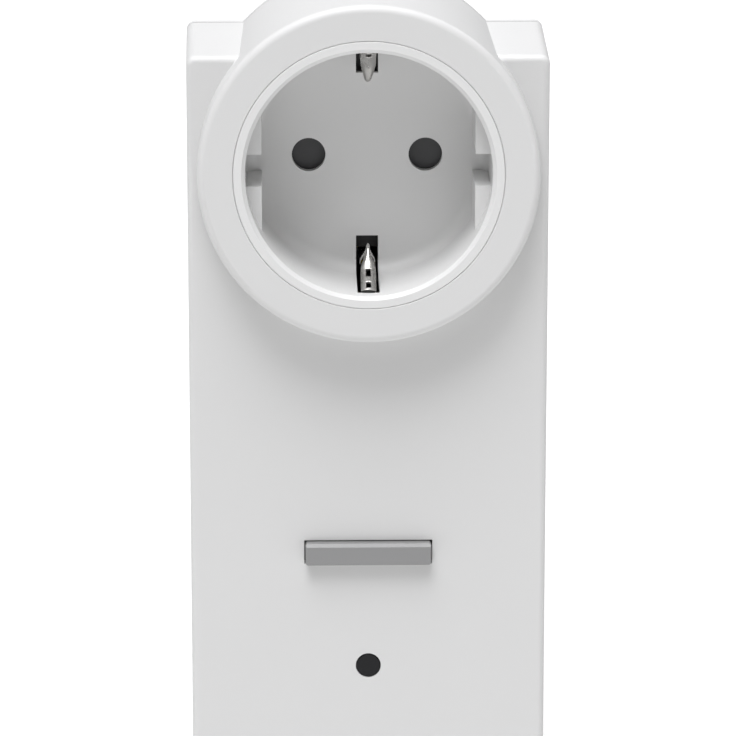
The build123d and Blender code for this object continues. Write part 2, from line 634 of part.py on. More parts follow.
def fuse_caps():
    """End caps, each with a foot on the board."""
    caps = []
    for x in ((FUSE_X[0], FUSE_X[0] + FUSE_CAP), (FUSE_X[1] - FUSE_CAP, FUSE_X[1])):
        mid = (x[0] + x[1]) / 2
        cap = Pos(mid, Y_FUSE, FUSE_Z) * Rot(0, 90, 0) * Cylinder(FUSE_R, FUSE_CAP)
        foot = block((mid - 1.0, mid + 1.0), (Y_FUSE, Y_MAIN[0]), (FUSE_Z - 0.6, FUSE_Z + 0.6))
        caps.append(cap + foot)
    return group(caps)


def bulk_capacitors():
    cans = []
    for x, z in CAP_SPOTS:
        can = drum(CAP_R, (Y_MAIN[0] - CAP_H, Y_MAIN[0]), x, z)
        cans.append(fillet(can.edges().filter_by(GeomType.CIRCLE), 0.6))
    return group(cans)


TRANSFORMER_X = (-14.0, 0.0)
TRANSFORMER_Z = (-77.0, -64.0)
TRANSFORMER_H = 12.0


def transformer_core():
    """Ferrite frame round the winding."""
    x, z = TRANSFORMER_X, TRANSFORMER_Z
    frame = on_main(x, (z[0] + 3.5, z[1] - 3.5), TRANSFORMER_H, 1.0)
    return frame - on_main((x[0] + 2.2, x[1] - 2.2), (z[0] + 3.5, z[1] - 3.5), TRANSFORMER_H - 4.4, 3.2)


def transformer_winding():
    x, z = TRANSFORMER_X, TRANSFORMER_Z
    coil = on_main((x[0] + 2.3, x[1] - 2.3), z, TRANSFORMER_H - 4.6, 3.3)
    return fillet(coil.edges().filter_by(Axis.X), 1.5)


def transformer_feet():
    """Pin rails that hold the transformer off the board, one at each end."""
    x, z = TRANSFORMER_X, TRANSFORMER_Z
    return group(on_main((x[0], x[1]), end, 3.3) for end in ((z[0], z[0] + 2.2), (z[1] - 2.2, z[1])))


def choke():
    """Drum inductor: two flanges with the winding between them."""
    x, z, r = -20.0, -62.5, 3.6
    core = drum(r, (Y_MAIN[0] - 8.0, Y_MAIN[0]), x, z)
    ring = (Y_MAIN[0] - 6.8, Y_MAIN[0] - 1.2)
    return core - (drum(r, ring, x, z) - drum(r - 0.8, ring, x, z))


def shunt():
    """Bent metal strip that the load current passes through."""
    y = Y_MAIN[0]
    line = [(-17.5, y), (-17.5, y - 3.0), (-9.5, y - 3.0), (-9.5, y)]
    return Pos(0, 0, -55.8) * strip(line, 0.8, 2.6, Plane.XY)


def chips():
    """Flat packages of the main board: meter, converter, rectifier."""
    spots = (((-21.0, -11.0), (-90.5, -84.5), 1.7), ((3.0, 8.0), (-68.0, -64.0), 1.6),
             ((17.5, 23.5), (-58.0, -53.5), 2.4))
    return group(on_main(x, z, height) for x, z, height in spots)


def optocouplers():
    return group(on_main((x, x + 4.6), (-92.0, -85.5), 3.6) for x in (-7.0, 0.0))


def wire_terminals():
    """Blocks at the top edge of the board, one for each wire."""
    spots = (-PIN_PITCH / 2, LINE_OUT_X, PIN_PITCH / 2)
    return group(on_main((x - 1.9, x + 1.9), TERMINAL_Z, 4.4) for x in spots)


def small_parts():
    """Chip resistors and capacitors of both boards."""
    pieces = []
    for i in range(5):
        pieces.append(on_main((-22.5 + 3.0 * i, -20.9 + 3.0 * i), (-80.8, -80.0), 0.6))
        pieces.append(on_main((3.0, 4.6), (-72.2 - 2.0 * i, -71.4 - 2.0 * i), 0.6))
    for i in range(4):
        pieces.append(on_control((9.0, 10.6), (-70.2 - 2.4 * i, -69.4 - 2.4 * i), 0.6))
        pieces.append(on_control((-11.2, -9.6), (-82.6 - 1.8 * i, -81.8 - 1.8 * i), 0.6))
    return group(pieces)


# ---- parts on the control board -----------------------------------------------------------------------
RADIO_X = (-7.5, 7.5)
RADIO_Z = (-79.5, -68.5)
RADIO_T = 0.8


def radio_board():
    return on_control(RADIO_X, RADIO_Z, RADIO_T)


def radio_shield():
    """Sheet metal can over the radio's parts."""
    can = on_control((RADIO_X[0] + 0.8, RADIO_X[1] - 3.2), (RADIO_Z[0] + 0.8, RADIO_Z[1] - 0.8), 1.8, RADIO_T)
    return fillet(can.faces().sort_by(Axis.Y)[0].edges(), 0.3)


def antenna():
    """Meandering aerial on the end of the radio board that the can leaves free."""
    x0, z0, step, reach = RADIO_X[1] - 2.7, RADIO_Z[0] + 1.2, 1.4, 2.0
    points = []
    for i in range(7):
        ends = (x0, x0 + reach) if i % 2 == 0 else (x0 + reach, x0)
        points += [(ends[0], z0 + step * i), (ends[1], z0 + step * i)]
    plane = Plane(origin=(0, Y_CONTROL[0] - RADIO_T - 0.1, 0), x_dir=(1, 0, 0), z_dir=(0, -1, 0))
    return strip(points, 0.4, 0.2, plane)


HEADER_X = (-14.0, -4.0)
HEADER_Z = (-83.5, -81.5)
HEADER_H = 8.4


def board_header():
    """Socket strip on the main board that takes the control board's pins."""
    return on_main(HEADER_X, HEADER_Z, HEADER_H)


def header_pins():
    y = (Y_CONTROL[1], Y_MAIN[0] - HEADER_H)
    xs = (HEADER_X[0] + 1.25 + 2.5 * i for i in range(4))
    return group(block((x - 0.3, x + 0.3), y, (-82.8, -82.2)) for x in xs)


# ---- wires --------------------------------------------------------------------------------------------
def wire_line_in():
    x, end = PIN_PITCH / 2, TERMINAL_Z[1]
    points = [(x, -6.0, -5.3), (x, -10.0, -5.3), (12.4, -18.0, -5.7), (12.0, -25.5, -9.0),
              (x, -27.0, -20.0), (x, -27.0, end)]
    return tube(points, WIRE_R)


def wire_neutral():
    """Starts on the neutral strap inside the boss."""
    x, end = -PIN_PITCH / 2, TERMINAL_Z[1]
    points = [(x, -13.0, -1.5), (x, -17.5, -1.7), (x, -20.0, -6.5), (x, -25.5, -10.0),
              (x, -27.0, -20.0), (x, -27.0, end)]
    return tube(points, WIRE_R)


def wire_line_out():
    end = TERMINAL_Z[1]
    points = [(TAB_X, -20.9, -5.2), (TAB_X, -20.9, -10.0), (5.0, -26.0, -16.0),
              (LINE_OUT_X, -27.0, -22.0), (LINE_OUT_X, -27.0, end)]
    return tube(points, WIRE_R)


NODES = {
    "front_shell": front_shell,
    "rear_cover": rear_cover,
    "housing_screws": housing_screws,
    "line_pin": lambda: plug_pin(1),
    "neutral_pin": lambda: plug_pin(-1),
    "line_terminal": lambda: pin_terminal(1),
    "plug_earth_strap": plug_earth_strap,
    "socket_insert": socket_insert,
    "shutter": shutter,
    "shutter_spring": shutter_spring,
    "contact_carrier": contact_carrier,
    "carrier_screws": carrier_screws,
    "earth_clip_upper": lambda: earth_clip(1),
    "earth_clip_lower": lambda: earth_clip(-1),
    "line_contact": line_contact,
    "neutral_contact": neutral_contact,
    "button": button,
    "indicator_lens": indicator_lens,
    "status_lamp": status_lamp,
    "tact_switch": tact_switch,
    "switch_plunger": switch_plunger,
    "main_board": main_board,
    "control_board": control_board,
    "main_board_screws": main_board_screws,
    "control_board_screws": control_board_screws,
    "insulation_sheet": insulation_sheet,
    "relay_case": relay_case,
    "relay_base": relay_base,
    "relay_yoke": relay_yoke,
    "relay_bobbin": relay_bobbin,
    "relay_coil": relay_coil,
    "relay_armature": relay_armature,
    "relay_contact": relay_contact,
    "film_capacitor": film_capacitor,
    "varistor": varistor,
    "varistor_leads": varistor_leads,
    "fuse_tube": fuse_tube,
    "fuse_caps": fuse_caps,
    "bulk_capacitors": bulk_capacitors,
    "transformer_core": transformer_core,
    "transformer_winding": transformer_winding,
    "transformer_feet": transformer_feet,
    "choke": choke,
    "shunt": shunt,
    "chips": chips,
    "optocouplers": optocouplers,
    "wire_terminals": wire_terminals,
    "small_parts": small_parts,
    "radio_board": radio_board,
    "radio_shield": radio_shield,
    "antenna": antenna,
    "board_header": board_header,
    "header_pins": header_pins,
    "wire_line_in": wire_line_in,
    "wire_neutral": wire_neutral,
    "wire_line_out": wire_line_out,
}

os.makedirs("parts", exist_ok=True)
for node, make in NODES.items():
    export_step(make(), f"parts/{node}.step")
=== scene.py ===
import json
import math

import bmesh
import bpy
from mathutils import Matrix, Vector


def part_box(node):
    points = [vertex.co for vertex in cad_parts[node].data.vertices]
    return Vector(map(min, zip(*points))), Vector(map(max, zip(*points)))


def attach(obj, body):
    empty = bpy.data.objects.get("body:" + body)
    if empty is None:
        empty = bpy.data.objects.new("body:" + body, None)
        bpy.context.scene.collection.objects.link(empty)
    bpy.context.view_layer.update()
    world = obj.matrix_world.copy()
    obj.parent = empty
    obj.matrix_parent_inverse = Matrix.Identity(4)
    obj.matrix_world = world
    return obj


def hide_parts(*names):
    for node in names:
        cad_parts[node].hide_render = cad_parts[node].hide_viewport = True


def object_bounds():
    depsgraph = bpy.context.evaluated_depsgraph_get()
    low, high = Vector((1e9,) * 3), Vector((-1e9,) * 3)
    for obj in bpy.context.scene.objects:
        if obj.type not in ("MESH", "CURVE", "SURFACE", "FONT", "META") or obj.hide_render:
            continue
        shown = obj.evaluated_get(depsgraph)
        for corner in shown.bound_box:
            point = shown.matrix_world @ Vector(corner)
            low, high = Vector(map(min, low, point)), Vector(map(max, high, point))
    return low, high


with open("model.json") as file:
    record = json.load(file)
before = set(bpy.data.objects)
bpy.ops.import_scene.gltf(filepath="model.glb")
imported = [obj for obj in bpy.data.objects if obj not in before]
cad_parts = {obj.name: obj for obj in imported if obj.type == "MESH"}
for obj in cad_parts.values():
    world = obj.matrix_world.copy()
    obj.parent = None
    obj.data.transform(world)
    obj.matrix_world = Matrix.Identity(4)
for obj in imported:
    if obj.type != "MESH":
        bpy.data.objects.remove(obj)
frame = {"nodes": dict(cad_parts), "record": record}
cad_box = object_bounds()
NODES = frame["nodes"]
SLOT_COLOUR = {m["slot"]: tuple(m["base_color"]) for m in frame["record"]["materials"]}
MM = 0.001


# ---- node helpers ----
def shade(colour, factor):
    return tuple(min(c * factor, 1.0) for c in colour)


def fill(node, values):
    """Sets a node's inputs by name, with underscores for spaces."""
    for key, value in values.items():
        node.inputs[key.replace("_", " ")].default_value = value


class Graph:
    """A material's node tree with its Principled shader and object coordinates."""

    def __init__(self, name):
        self.material = bpy.data.materials.new(name)
        self.material.use_nodes = True
        self.tree = self.material.node_tree
        self.shader = self.tree.nodes["Principled BSDF"]
        self.coords = self.tree.nodes.new("ShaderNodeTexCoord").outputs["Object"]
        self.colour = SLOT_COLOUR.get(name)

    def node(self, kind, **values):
        """New node of a kind with some of its inputs set."""
        node = self.tree.nodes.new("ShaderNode" + kind)
        fill(node, values)
        return node

    def link(self, output, node_input):
        self.tree.links.new(output, node_input)

    def feed(self, value, node_input):
        """Gives an input a colour, a number or another node's output."""
        if isinstance(value, tuple):
            node_input.default_value = (*value, 1.0)
        elif isinstance(value, (int, float)):
            node_input.default_value = value
        else:
            self.link(value, node_input)

    def place(self, node, stretch):
        """Lays a pattern in object coordinates, squeezed by a factor along each axis."""
        coords = self.coords
        if stretch:
            mapping = self.node("Mapping", Scale=stretch)
            self.link(coords, mapping.inputs["Vector"])
            coords = mapping.outputs["Vector"]
        self.link(coords, node.inputs["Vector"])

    def noise(self, size, detail=2.0, stretch=None):
        """Noise whose features are about size metres across."""
        node = self.node("TexNoise", Scale=1.0 / size, Detail=detail)
        self.place(node, stretch)
        return node.outputs["Fac"]

    def cells(self, size, stretch=None, scatter=1.0):
        """Distance from the middles of cells about size metres across."""
        node = self.node("TexVoronoi", Scale=1.0 / size, Randomness=scatter)
        self.place(node, stretch)
        return node.outputs["Distance"]

    def tracks(self, along, across, length, pitch, shift):
        """Thin lines between long bricks laid in X and Z."""
        apart, flat = self.node("SeparateXYZ"), self.node("CombineXYZ")
        self.link(self.coords, apart.inputs["Vector"])
        self.link(apart.outputs[along], flat.inputs["X"])
        self.link(apart.outputs[across], flat.inputs["Y"])
        node = self.node("TexBrick", Scale=1.0 / pitch, Mortar_Size=0.12, Mortar_Smooth=0.1,
                         Brick_Width=length / pitch, Row_Height=1.0)
        node.offset, node.squash, node.squash_frequency = shift, 1.7, 3
        self.link(flat.outputs["Vector"], node.inputs["Vector"])
        return node.outputs["Fac"]

    def spread(self, factor, low, high, start=0.3, end=0.7):
        """Maps the middle of a pattern to a range of values."""
        node = self.node("MapRange", From_Min=start, From_Max=end, To_Min=low, To_Max=high)
        self.link(factor, node.inputs["Value"])
        return node.outputs["Result"]

    def blend(self, factor, dark, light):
        """Colour between two by a pattern; either end may be a colour or an output."""
        node = self.node("Mix")
        node.data_type = "RGBA"
        self.link(factor, node.inputs["Factor"])
        self.feed(dark, node.inputs[6])
        self.feed(light, node.inputs[7])
        return node.outputs[2]

    def math(self, operation, first, second):
        node = self.node("Math")
        node.operation = operation
        self.feed(first, node.inputs[0])
        self.feed(second, node.inputs[1])
        return node.outputs[0]

    def bump(self, height, depth, onto=None):
        """Adds relief of a depth in metres, on top of another bump if there is one."""
        node = self.node("Bump", Strength=1.0, Distance=depth)
        self.link(height, node.inputs["Height"])
        if onto is not None:
            self.link(onto, node.inputs["Normal"])
        return node.outputs["Normal"]

    def wire(self, name, output):
        """Links an output to an input of the shader."""
        self.link(output, self.shader.inputs[name])

    def set(self, **values):
        fill(self.shader, values)

    def paint(self, factor, dark, light):
        """Base colour that a pattern takes from dark to light, as shares of the slot's colour."""
        self.wire("Base Color", self.blend(factor, shade(self.colour, dark), shade(self.colour, light)))


# ---- materials ----
def moulded(slot, rough, grain=0.25 * MM, relief=0.006 * MM, mottle=0.03, tone=1.0):
    """Moulded plastic: spark-eroded grain, faint flow mottling, and roughness that follows the grain."""
    g = Graph(slot)
    g.colour = shade(g.colour, tone)
    fine = g.noise(grain, 3.0)
    g.paint(g.noise(18 * MM, 3.0), 1 - mottle, 1 + mottle)
    g.wire("Roughness", g.spread(fine, rough - 0.05, rough + 0.07))
    g.wire("Normal", g.bump(g.cells(grain * 2.2), relief * 0.6, g.bump(fine, relief)))
    g.set(IOR=1.49)
    return g.material


def glossy(slot, rough, relief=0.004 * MM, mottle=0.05, coat=0.0, sheen=0.5):
    """Smooth plastic or lacquer: slow waviness in the surface and faint smears in the gloss."""
    g = Graph(slot)
    wave = g.noise(3.5 * MM, 2.0)
    smear = g.noise(1.2 * MM, 4.0, (1.0, 1.0, 0.3))
    g.paint(wave, 1 - mottle, 1 + mottle)
    g.wire("Roughness", g.spread(smear, max(rough - 0.05, 0.03), rough + 0.1))
    g.wire("Normal", g.bump(wave, relief * 4, g.bump(g.noise(0.2 * MM), relief)))
    g.set(IOR=1.5, Coat_Weight=coat, Specular_IOR_Level=sheen)
    return g.material


def metal(slot, rough, stretch=(1.0, 1.0, 1.0), relief=0.002 * MM, tarnish=0.2):
    """Plated or rolled metal: fine lines along the rolling direction and patches of duller plate."""
    g = Graph(slot)
    patches = g.noise(1.8 * MM, 4.0)
    lines = g.noise(0.12 * MM, 3.0, stretch)
    g.paint(g.spread(patches, 0.0, 1.0), 1 - tarnish, 1.08)
    g.wire("Roughness", g.spread(patches, rough + 0.12, rough - 0.04))
    g.wire("Normal", g.bump(lines, relief, g.bump(patches, relief * 2)))
    g.set(Metallic=1.0)
    return g.material


THROUGH = (1.0, 0.01, 1.0)  # stretch that runs a pattern straight through a board
BARE_TIN = (0.62, 0.60, 0.55)


def board(slot):
    """Circuit board: tracks under solder mask, bare tinned pads, and the weave of the laminate."""
    g = Graph(slot)
    region = g.spread(g.noise(14 * MM, 1.0, THROUGH), 0.0, 1.0, 0.49, 0.51)
    flat_runs = g.math("MULTIPLY", g.tracks("X", "Z", 27 * MM, 1.9 * MM, 0.37), region)
    elsewhere = g.math("SUBTRACT", 1.0, region)
    upright_runs = g.math("MULTIPLY", g.tracks("Z", "X", 31 * MM, 1.6 * MM, 0.61), elsewhere)
    kept = g.spread(g.noise(5 * MM, 1.0, THROUGH), 0.0, 1.0, 0.43, 0.45)
    track = g.math("MULTIPLY", g.math("MAXIMUM", flat_runs, upright_runs), kept)
    pads = g.spread(g.cells(2.9 * MM, THROUGH, 0.45), 1.0, 0.0, 0.14, 0.16)
    pads = g.math("MULTIPLY", pads, g.spread(g.noise(6 * MM, 1.0), 0.0, 1.0, 0.48, 0.5))
    weave = g.noise(0.35 * MM, 1.0, (1.0, 1.0, 6.0))
    green = g.blend(track, shade(g.colour, 0.85), shade(g.colour, 1.6))
    green = g.blend(g.spread(weave, 0.0, 0.25), green, shade(g.colour, 1.2))
    g.wire("Base Color", g.blend(pads, green, BARE_TIN))
    g.wire("Metallic", pads)
    g.wire("Roughness", g.spread(weave, 0.28, 0.42))
    g.wire("Normal", g.bump(track, 0.035 * MM, g.bump(weave, 0.004 * MM)))
    return g.material


def insulation(slot):
    """Soft cable insulation: fine lengthwise drawing lines and a faint bloom."""
    g = Graph(slot)
    bloom = g.noise(2.5 * MM, 3.0)
    lines = g.noise(0.15 * MM, 2.0, (1.0, 1.0, 0.15))
    g.paint(bloom, 0.9, 1.15)
    g.wire("Roughness", g.spread(bloom, 0.42, 0.58))
    g.wire("Normal", g.bump(lines, 0.006 * MM))
    return g.material


def sheet(slot):
    """Pressed paper: fibres and calendered sheen."""
    g = Graph(slot)
    fibre = g.noise(0.5 * MM, 5.0, (1.0, 1.0, 0.3))
    g.paint(fibre, 0.82, 1.12)
    g.wire("Roughness", g.spread(fibre, 0.6, 0.8))
    g.wire("Normal", g.bump(fibre, 0.01 * MM))
    return g.material


def sintered(slot, rough=0.55):
    """Ferrite: fine pores with a slight glint."""
    g = Graph(slot)
    pores = g.cells(0.18 * MM)
    cloud = g.noise(2.0 * MM, 3.0)
    g.paint(cloud, 0.8, 1.25)
    g.wire("Roughness", g.spread(cloud, rough - 0.1, rough + 0.1))
    g.wire("Normal", g.bump(pores, 0.012 * MM))
    return g.material


WAVE_PERIOD = 0.314  # metres between the bands of a wave texture at scale 1


def winding(slot, pitch=0.25 * MM):
    """Enamelled wire laid in turns round an upright former, with painted shade between the turns."""
    g = Graph(slot)
    turns = g.node("TexWave", Scale=WAVE_PERIOD / pitch, Distortion=0.4)
    turns.bands_direction = "Y"
    g.link(g.coords, turns.inputs["Vector"])
    # Painted shade: the base colour darkens in the grooves between the turns, where shade falls.
    g.paint(turns.outputs["Fac"], 0.45, 1.1)
    g.wire("Roughness", g.spread(g.noise(1.0 * MM, 2.0), 0.22, 0.36))
    g.wire("Normal", g.bump(turns.outputs["Fac"], 0.08 * MM))
    g.set(Metallic=0.85, Coat_Weight=0.5)
    return g.material


def clear_glass(slot):
    """Drawn glass tube with faint draw lines."""
    g = Graph(slot)
    draw = g.noise(0.4 * MM, 2.0, (0.1, 1.0, 1.0))
    g.paint(draw, 0.97, 1.0)
    g.wire("Roughness", g.spread(draw, 0.02, 0.06))
    g.wire("Normal", g.bump(draw, 0.003 * MM))
    g.set(Transmission_Weight=0.9, IOR=1.5)
    return g.material


MATERIALS = {
    "housing_white": moulded("housing_white", 0.52, 0.3 * MM, 0.007 * MM, 0.012, 0.93),
    "socket_white": moulded("socket_white", 0.42, 0.25 * MM, 0.004 * MM, 0.012),
    "shutter_grey": moulded("shutter_grey", 0.45, mottle=0.12),
    "button_grey": moulded("button_grey", 0.4, 0.2 * MM, 0.005 * MM, 0.03),
    "inner_grey": moulded("inner_grey", 0.5),
    "black_plastic": moulded("black_plastic", 0.48, 0.2 * MM, 0.01 * MM, 0.2),
    "terminal_green": moulded("terminal_green", 0.42),
    "lens_smoke": glossy("lens_smoke", 0.16, sheen=0.2),
    "lamp_clear": glossy("lamp_clear", 0.12),
    "relay_blue": glossy("relay_blue", 0.3),
    "capacitor_yellow": glossy("capacitor_yellow", 0.32),
    "varistor_blue": glossy("varistor_blue", 0.22, 0.012 * MM),
    "can_sleeve": glossy("can_sleeve", 0.26, 0.006 * MM, 0.15),
    "tape_amber": glossy("tape_amber", 0.2, 0.01 * MM, 0.08, 0.6),
    "nickel": metal("nickel", 0.2, (1.0, 0.1, 1.0)),
    "spring_steel": metal("spring_steel", 0.24, (1.0, 0.12, 1.0), 0.0012 * MM, 0.1),
    "screw_steel": metal("screw_steel", 0.34),
    "contact_brass": metal("contact_brass", 0.27, (1.0, 0.1, 1.0)),
    "tinned_leads": metal("tinned_leads", 0.3),
    "relay_iron": metal("relay_iron", 0.36, (1.0, 0.2, 1.0), tarnish=0.08),
    "board_green": board("board_green"),
    "board_blue": board("board_blue"),
    "sheet_buff": sheet("sheet_buff"),
    "ferrite": sintered("ferrite"),
    "copper_wire": winding("copper_wire"),
    "copper_sheet": metal("copper_wire", 0.32),
    "fuse_glass": clear_glass("fuse_glass"),
    "wire_brown": insulation("wire_brown"),
    "wire_blue": insulation("wire_blue"),
    "wire_black": insulation("wire_black"),
}
for part in frame["record"]["subparts"]:
    material = MATERIALS[part["material_slot"]]
    for slot in NODES[part["node"]].material_slots:
        slot.material = material
NODES["antenna"].material_slots[0].material = MATERIALS["copper_sheet"]


# ---- mesh tools, in millimetres ----
SIGNS = (-1, 1)
FOUR_SIGNS = ((-1, -1), (-1, 1), (1, -1), (1, 1))
SQUARE = ((-1, -1), (1, -1), (1, 1), (-1, 1))  # the same four, going round
FRONTWARD = (0, -1, 0)
BACKWARD = (0, 1, 0)


def span(node):
    """Lowest and highest corner of a CAD node."""
    low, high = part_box(node)
    return Vector(low) / MM, Vector(high) / MM


def mid(node):
    low, high = span(node)
    return (low + high) / 2


def make(name, shape, slot, nodes=(), sharp=35, look=None):
    """Turns a bmesh in millimetres into a finished piece that rides on the housing."""
    bmesh.ops.recalc_face_normals(shape, faces=shape.faces)
    bmesh.ops.scale(shape, vec=(MM, MM, MM), verts=shape.verts)
    mesh = bpy.data.meshes.new(name)
    shape.to_mesh(mesh)
    shape.free()
    mesh.shade_smooth()
    mesh.set_sharp_from_angle(angle=math.radians(sharp))
    mesh.materials.append(MATERIALS[look or slot])
    piece = bpy.data.objects.new(name, mesh)
    bpy.context.scene.collection.objects.link(piece)
    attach(piece, "housing")
    if nodes:
        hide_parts(*nodes)


def rounded_line(points, radius, steps=6):
    """A line through points with every corner rounded."""
    points = [Vector(p) for p in points]
    line = [points[0]]
    for before, corner, after in zip(points, points[1:], points[2:]):
        reach = min(radius, (corner - before).length / 2.05, (after - corner).length / 2.05)
        start = corner + (before - corner).normalized() * reach
        end = corner + (after - corner).normalized() * reach
        for i in range(steps + 1):
            t = i / steps
            line.append(start.lerp(corner, t).lerp(corner.lerp(end, t), t))
    line.append(points[-1])
    return line


def evenly(line, step):
    """The same line with its points about a step apart."""
    marks = [0.0]
    for one, two in zip(line, line[1:]):
        marks.append(marks[-1] + (two - one).length)
    count = round(marks[-1] / step)
    spaced, i = [], 0
    for k in range(count + 1):
        mark = marks[-1] * k / count
        while i < len(line) - 2 and marks[i + 1] < mark:
            i += 1
        spaced.append(line[i].lerp(line[i + 1], (mark - marks[i]) / (marks[i + 1] - marks[i])))
    return spaced


def skin(shape, rings, closed=False):
    """Skins a row of point rings; the ends are capped unless the row closes on itself."""
    rows = [[shape.verts.new(p) for p in ring] for ring in rings]
    pairs = list(zip(rows, rows[1:]))
    if closed:
        pairs.append((rows[-1], rows[0]))
    for one, two in pairs:
        for i in range(len(one)):
            j = (i + 1) % len(one)
            shape.faces.new((one[i], one[j], two[j], two[i]))
    if not closed:
        shape.faces.new(rows[0][::-1])
        shape.faces.new(rows[-1])


def turned(shape, profile, centre, axis=(0, 1, 0), steps=32, closed=False):
    """Revolves (radius, height) pairs about an axis; a radius may be a function of the turn."""
    tilt = Vector((0, 0, 1)).rotation_difference(Vector(axis))
    rings = []
    for radius, height in profile:
        ring = []
        for i in range(steps):
            turn = math.tau * i / steps
            r = radius(turn) if callable(radius) else radius
            ring.append(Vector(centre) + tilt @ Vector((r * math.cos(turn), r * math.sin(turn), height)))
        rings.append(ring)
    skin(shape, rings, closed)


def swept(shape, path, radius, sides=12):
    """Round wire along a path; the radius may be a list, one for each point."""
    path = [Vector(p) for p in path]
    radii = radius if isinstance(radius, list) else [radius] * len(path)
    across, rings = None, []
    for i, point in enumerate(path):
        along = (path[min(i + 1, len(path) - 1)] - path[max(i - 1, 0)]).normalized()
        across = along.orthogonal() if across is None else across - along * across.dot(along)
        across.normalize()
        side = along.cross(across)
        turns = (math.tau * k / sides for k in range(sides))
        rings.append([point + (across * math.cos(t) + side * math.sin(t)) * radii[i] for t in turns])
    skin(shape, rings)


def brick(shape, low, high, edge=0.12, segments=2):
    """Block between two corners, with rounded edges."""
    low, high = Vector(low), Vector(high)
    centre, size = (low + high) / 2, high - low
    verts = bmesh.ops.create_cube(shape, size=1.0)["verts"]
    for vert in verts:
        vert.co = centre + vert.co * size
    edges = list({edge_of for vert in verts for edge_of in vert.link_edges})
    bmesh.ops.bevel(shape, geom=edges, offset=edge, segments=segments, profile=0.5, affect="EDGES")


def plate(shape, stations, columns, place, thick, gap):
    """Sheet over a grid of stations and columns, given thickness; cells where gap says so stay open."""
    grid = [[place(s, c) for c in columns] for s in stations]
    sides = []
    for lift in (-thick / 2, thick / 2):
        sides.append([[shape.verts.new(p + n * lift) for p, n in row] for row in grid])
    solid = {(i, j) for i in range(len(stations) - 1) for j in range(len(columns) - 1) if not gap(i, j)}
    for i, j in solid:
        for face in sides:
            shape.faces.new((face[i][j], face[i + 1][j], face[i + 1][j + 1], face[i][j + 1]))
        borders = (((i, j), (i, j + 1), (i - 1, j)), ((i + 1, j), (i + 1, j + 1), (i + 1, j)),
                   ((i, j), (i + 1, j), (i, j - 1)), ((i, j + 1), (i + 1, j + 1), (i, j + 1)))
        for (a, b), (c, d), neighbour in borders:
            if neighbour not in solid:
                shape.faces.new((sides[0][a][b], sides[0][c][d], sides[1][c][d], sides[1][a][b]))
    bmesh.ops.delete(shape, geom=[v for v in shape.verts if not v.link_faces], context="VERTS")


def soften(shape, edge, angle=40, segments=2):
    """Rounds every sharp edge of the shape."""
    bmesh.ops.recalc_face_normals(shape, faces=shape.faces)
    sharp = [e for e in shape.edges if len(e.link_faces) == 2 and e.calc_face_angle() > math.radians(angle)]
    bmesh.ops.bevel(shape, geom=sharp, offset=edge, segments=segments, profile=0.5, affect="EDGES",
                    clamp_overlap=True)


def strip_along(shape, line, thick, half_width, across, columns=7, crown=0.0, gap=None):
    """Bent sheet along a line; half_width may vary with the place, and gap opens windows in it."""
    across = Vector(across)
    line = [Vector(p) for p in line]
    middle = (columns - 1) // 2

    def place(i, j):
        along = (line[min(i + 1, len(line) - 1)] - line[max(i - 1, 0)]).normalized()
        normal = along.cross(across).normalized()
        part = (j - middle) / middle
        half = half_width(line[i]) if callable(half_width) else half_width
        return line[i] + across * (part * half) + normal * (crown * (1 - part * part)), normal

    def window(i, j):
        return gap is not None and gap(line[i], line[i + 1], j)

    plate(shape, range(len(line)), range(columns), place, thick, window)


def ridged(root, crest, pitch, start=0.0):
    """Radius of a screw thread or a laid winding at a height, as a function of the turn."""
    def at(height):
        def radius(turn):
            phase = ((height - start) / pitch - turn / math.tau) % 1.0
            return root + (crest - root) * (0.5 + 0.5 * math.cos(math.tau * phase))
        return radius
    return at


def coiled(shape, centre, axis, inner, outer, height, pitch, steps=28):
    """Wire wound in turns over a core: ridged outside, plain inside."""
    groove, rows_in_turn, least = 0.35, 6, 8
    at = ridged(outer - groove * pitch, outer, pitch)
    count = max(int(height / pitch * rows_in_turn), least)
    heights = [height * i / count - height / 2 for i in range(count + 1)]
    profile = [(at(h), h) for h in heights] + [(inner, heights[-1]), (inner, heights[0])]
    turned(shape, profile, centre, axis, steps, closed=True)


def cut(target, tool):
    """Takes one closed shape out of another and returns the result; both are used up."""
    things = []
    for shape in (target, tool):
        bmesh.ops.recalc_face_normals(shape, faces=shape.faces)
        mesh = bpy.data.meshes.new("cutting")
        shape.to_mesh(mesh)
        shape.free()
        thing = bpy.data.objects.new("cutting", mesh)
        bpy.context.scene.collection.objects.link(thing)
        things.append(thing)
    cutter = things[0].modifiers.new("cut", "BOOLEAN")
    cutter.object, cutter.operation, cutter.solver = things[1], "DIFFERENCE", "EXACT"
    graph = bpy.context.evaluated_depsgraph_get()
    result = bmesh.new()
    result.from_mesh(things[0].evaluated_get(graph).to_mesh())
    for thing in things:
        mesh = thing.data
        bpy.data.objects.remove(thing)
        bpy.data.meshes.remove(mesh)
    return result


def bored(target, radius, start, end, place, direction=FRONTWARD, steps=32):
    """Cuts a round hole between two heights along a direction from a place."""
    tool = bmesh.new()
    turned(tool, [(radius, start), (radius, end)], place, direction, steps)
    return cut(target, tool)


def add(shape, other, matrix):
    """Copies another shape into this one, moved by a matrix."""
    mesh = bpy.data.meshes.new("copy")
    other.to_mesh(mesh)
    mesh.transform(matrix)
    shape.from_mesh(mesh)
    bpy.data.meshes.remove(mesh)


def facing(place, direction):
    """Matrix that stands something built along +Z at a place, facing a direction."""
    turn = Vector((0, 0, 1)).rotation_difference(Vector(direction)).to_matrix().to_4x4()
    return Matrix.Translation(place) @ turn


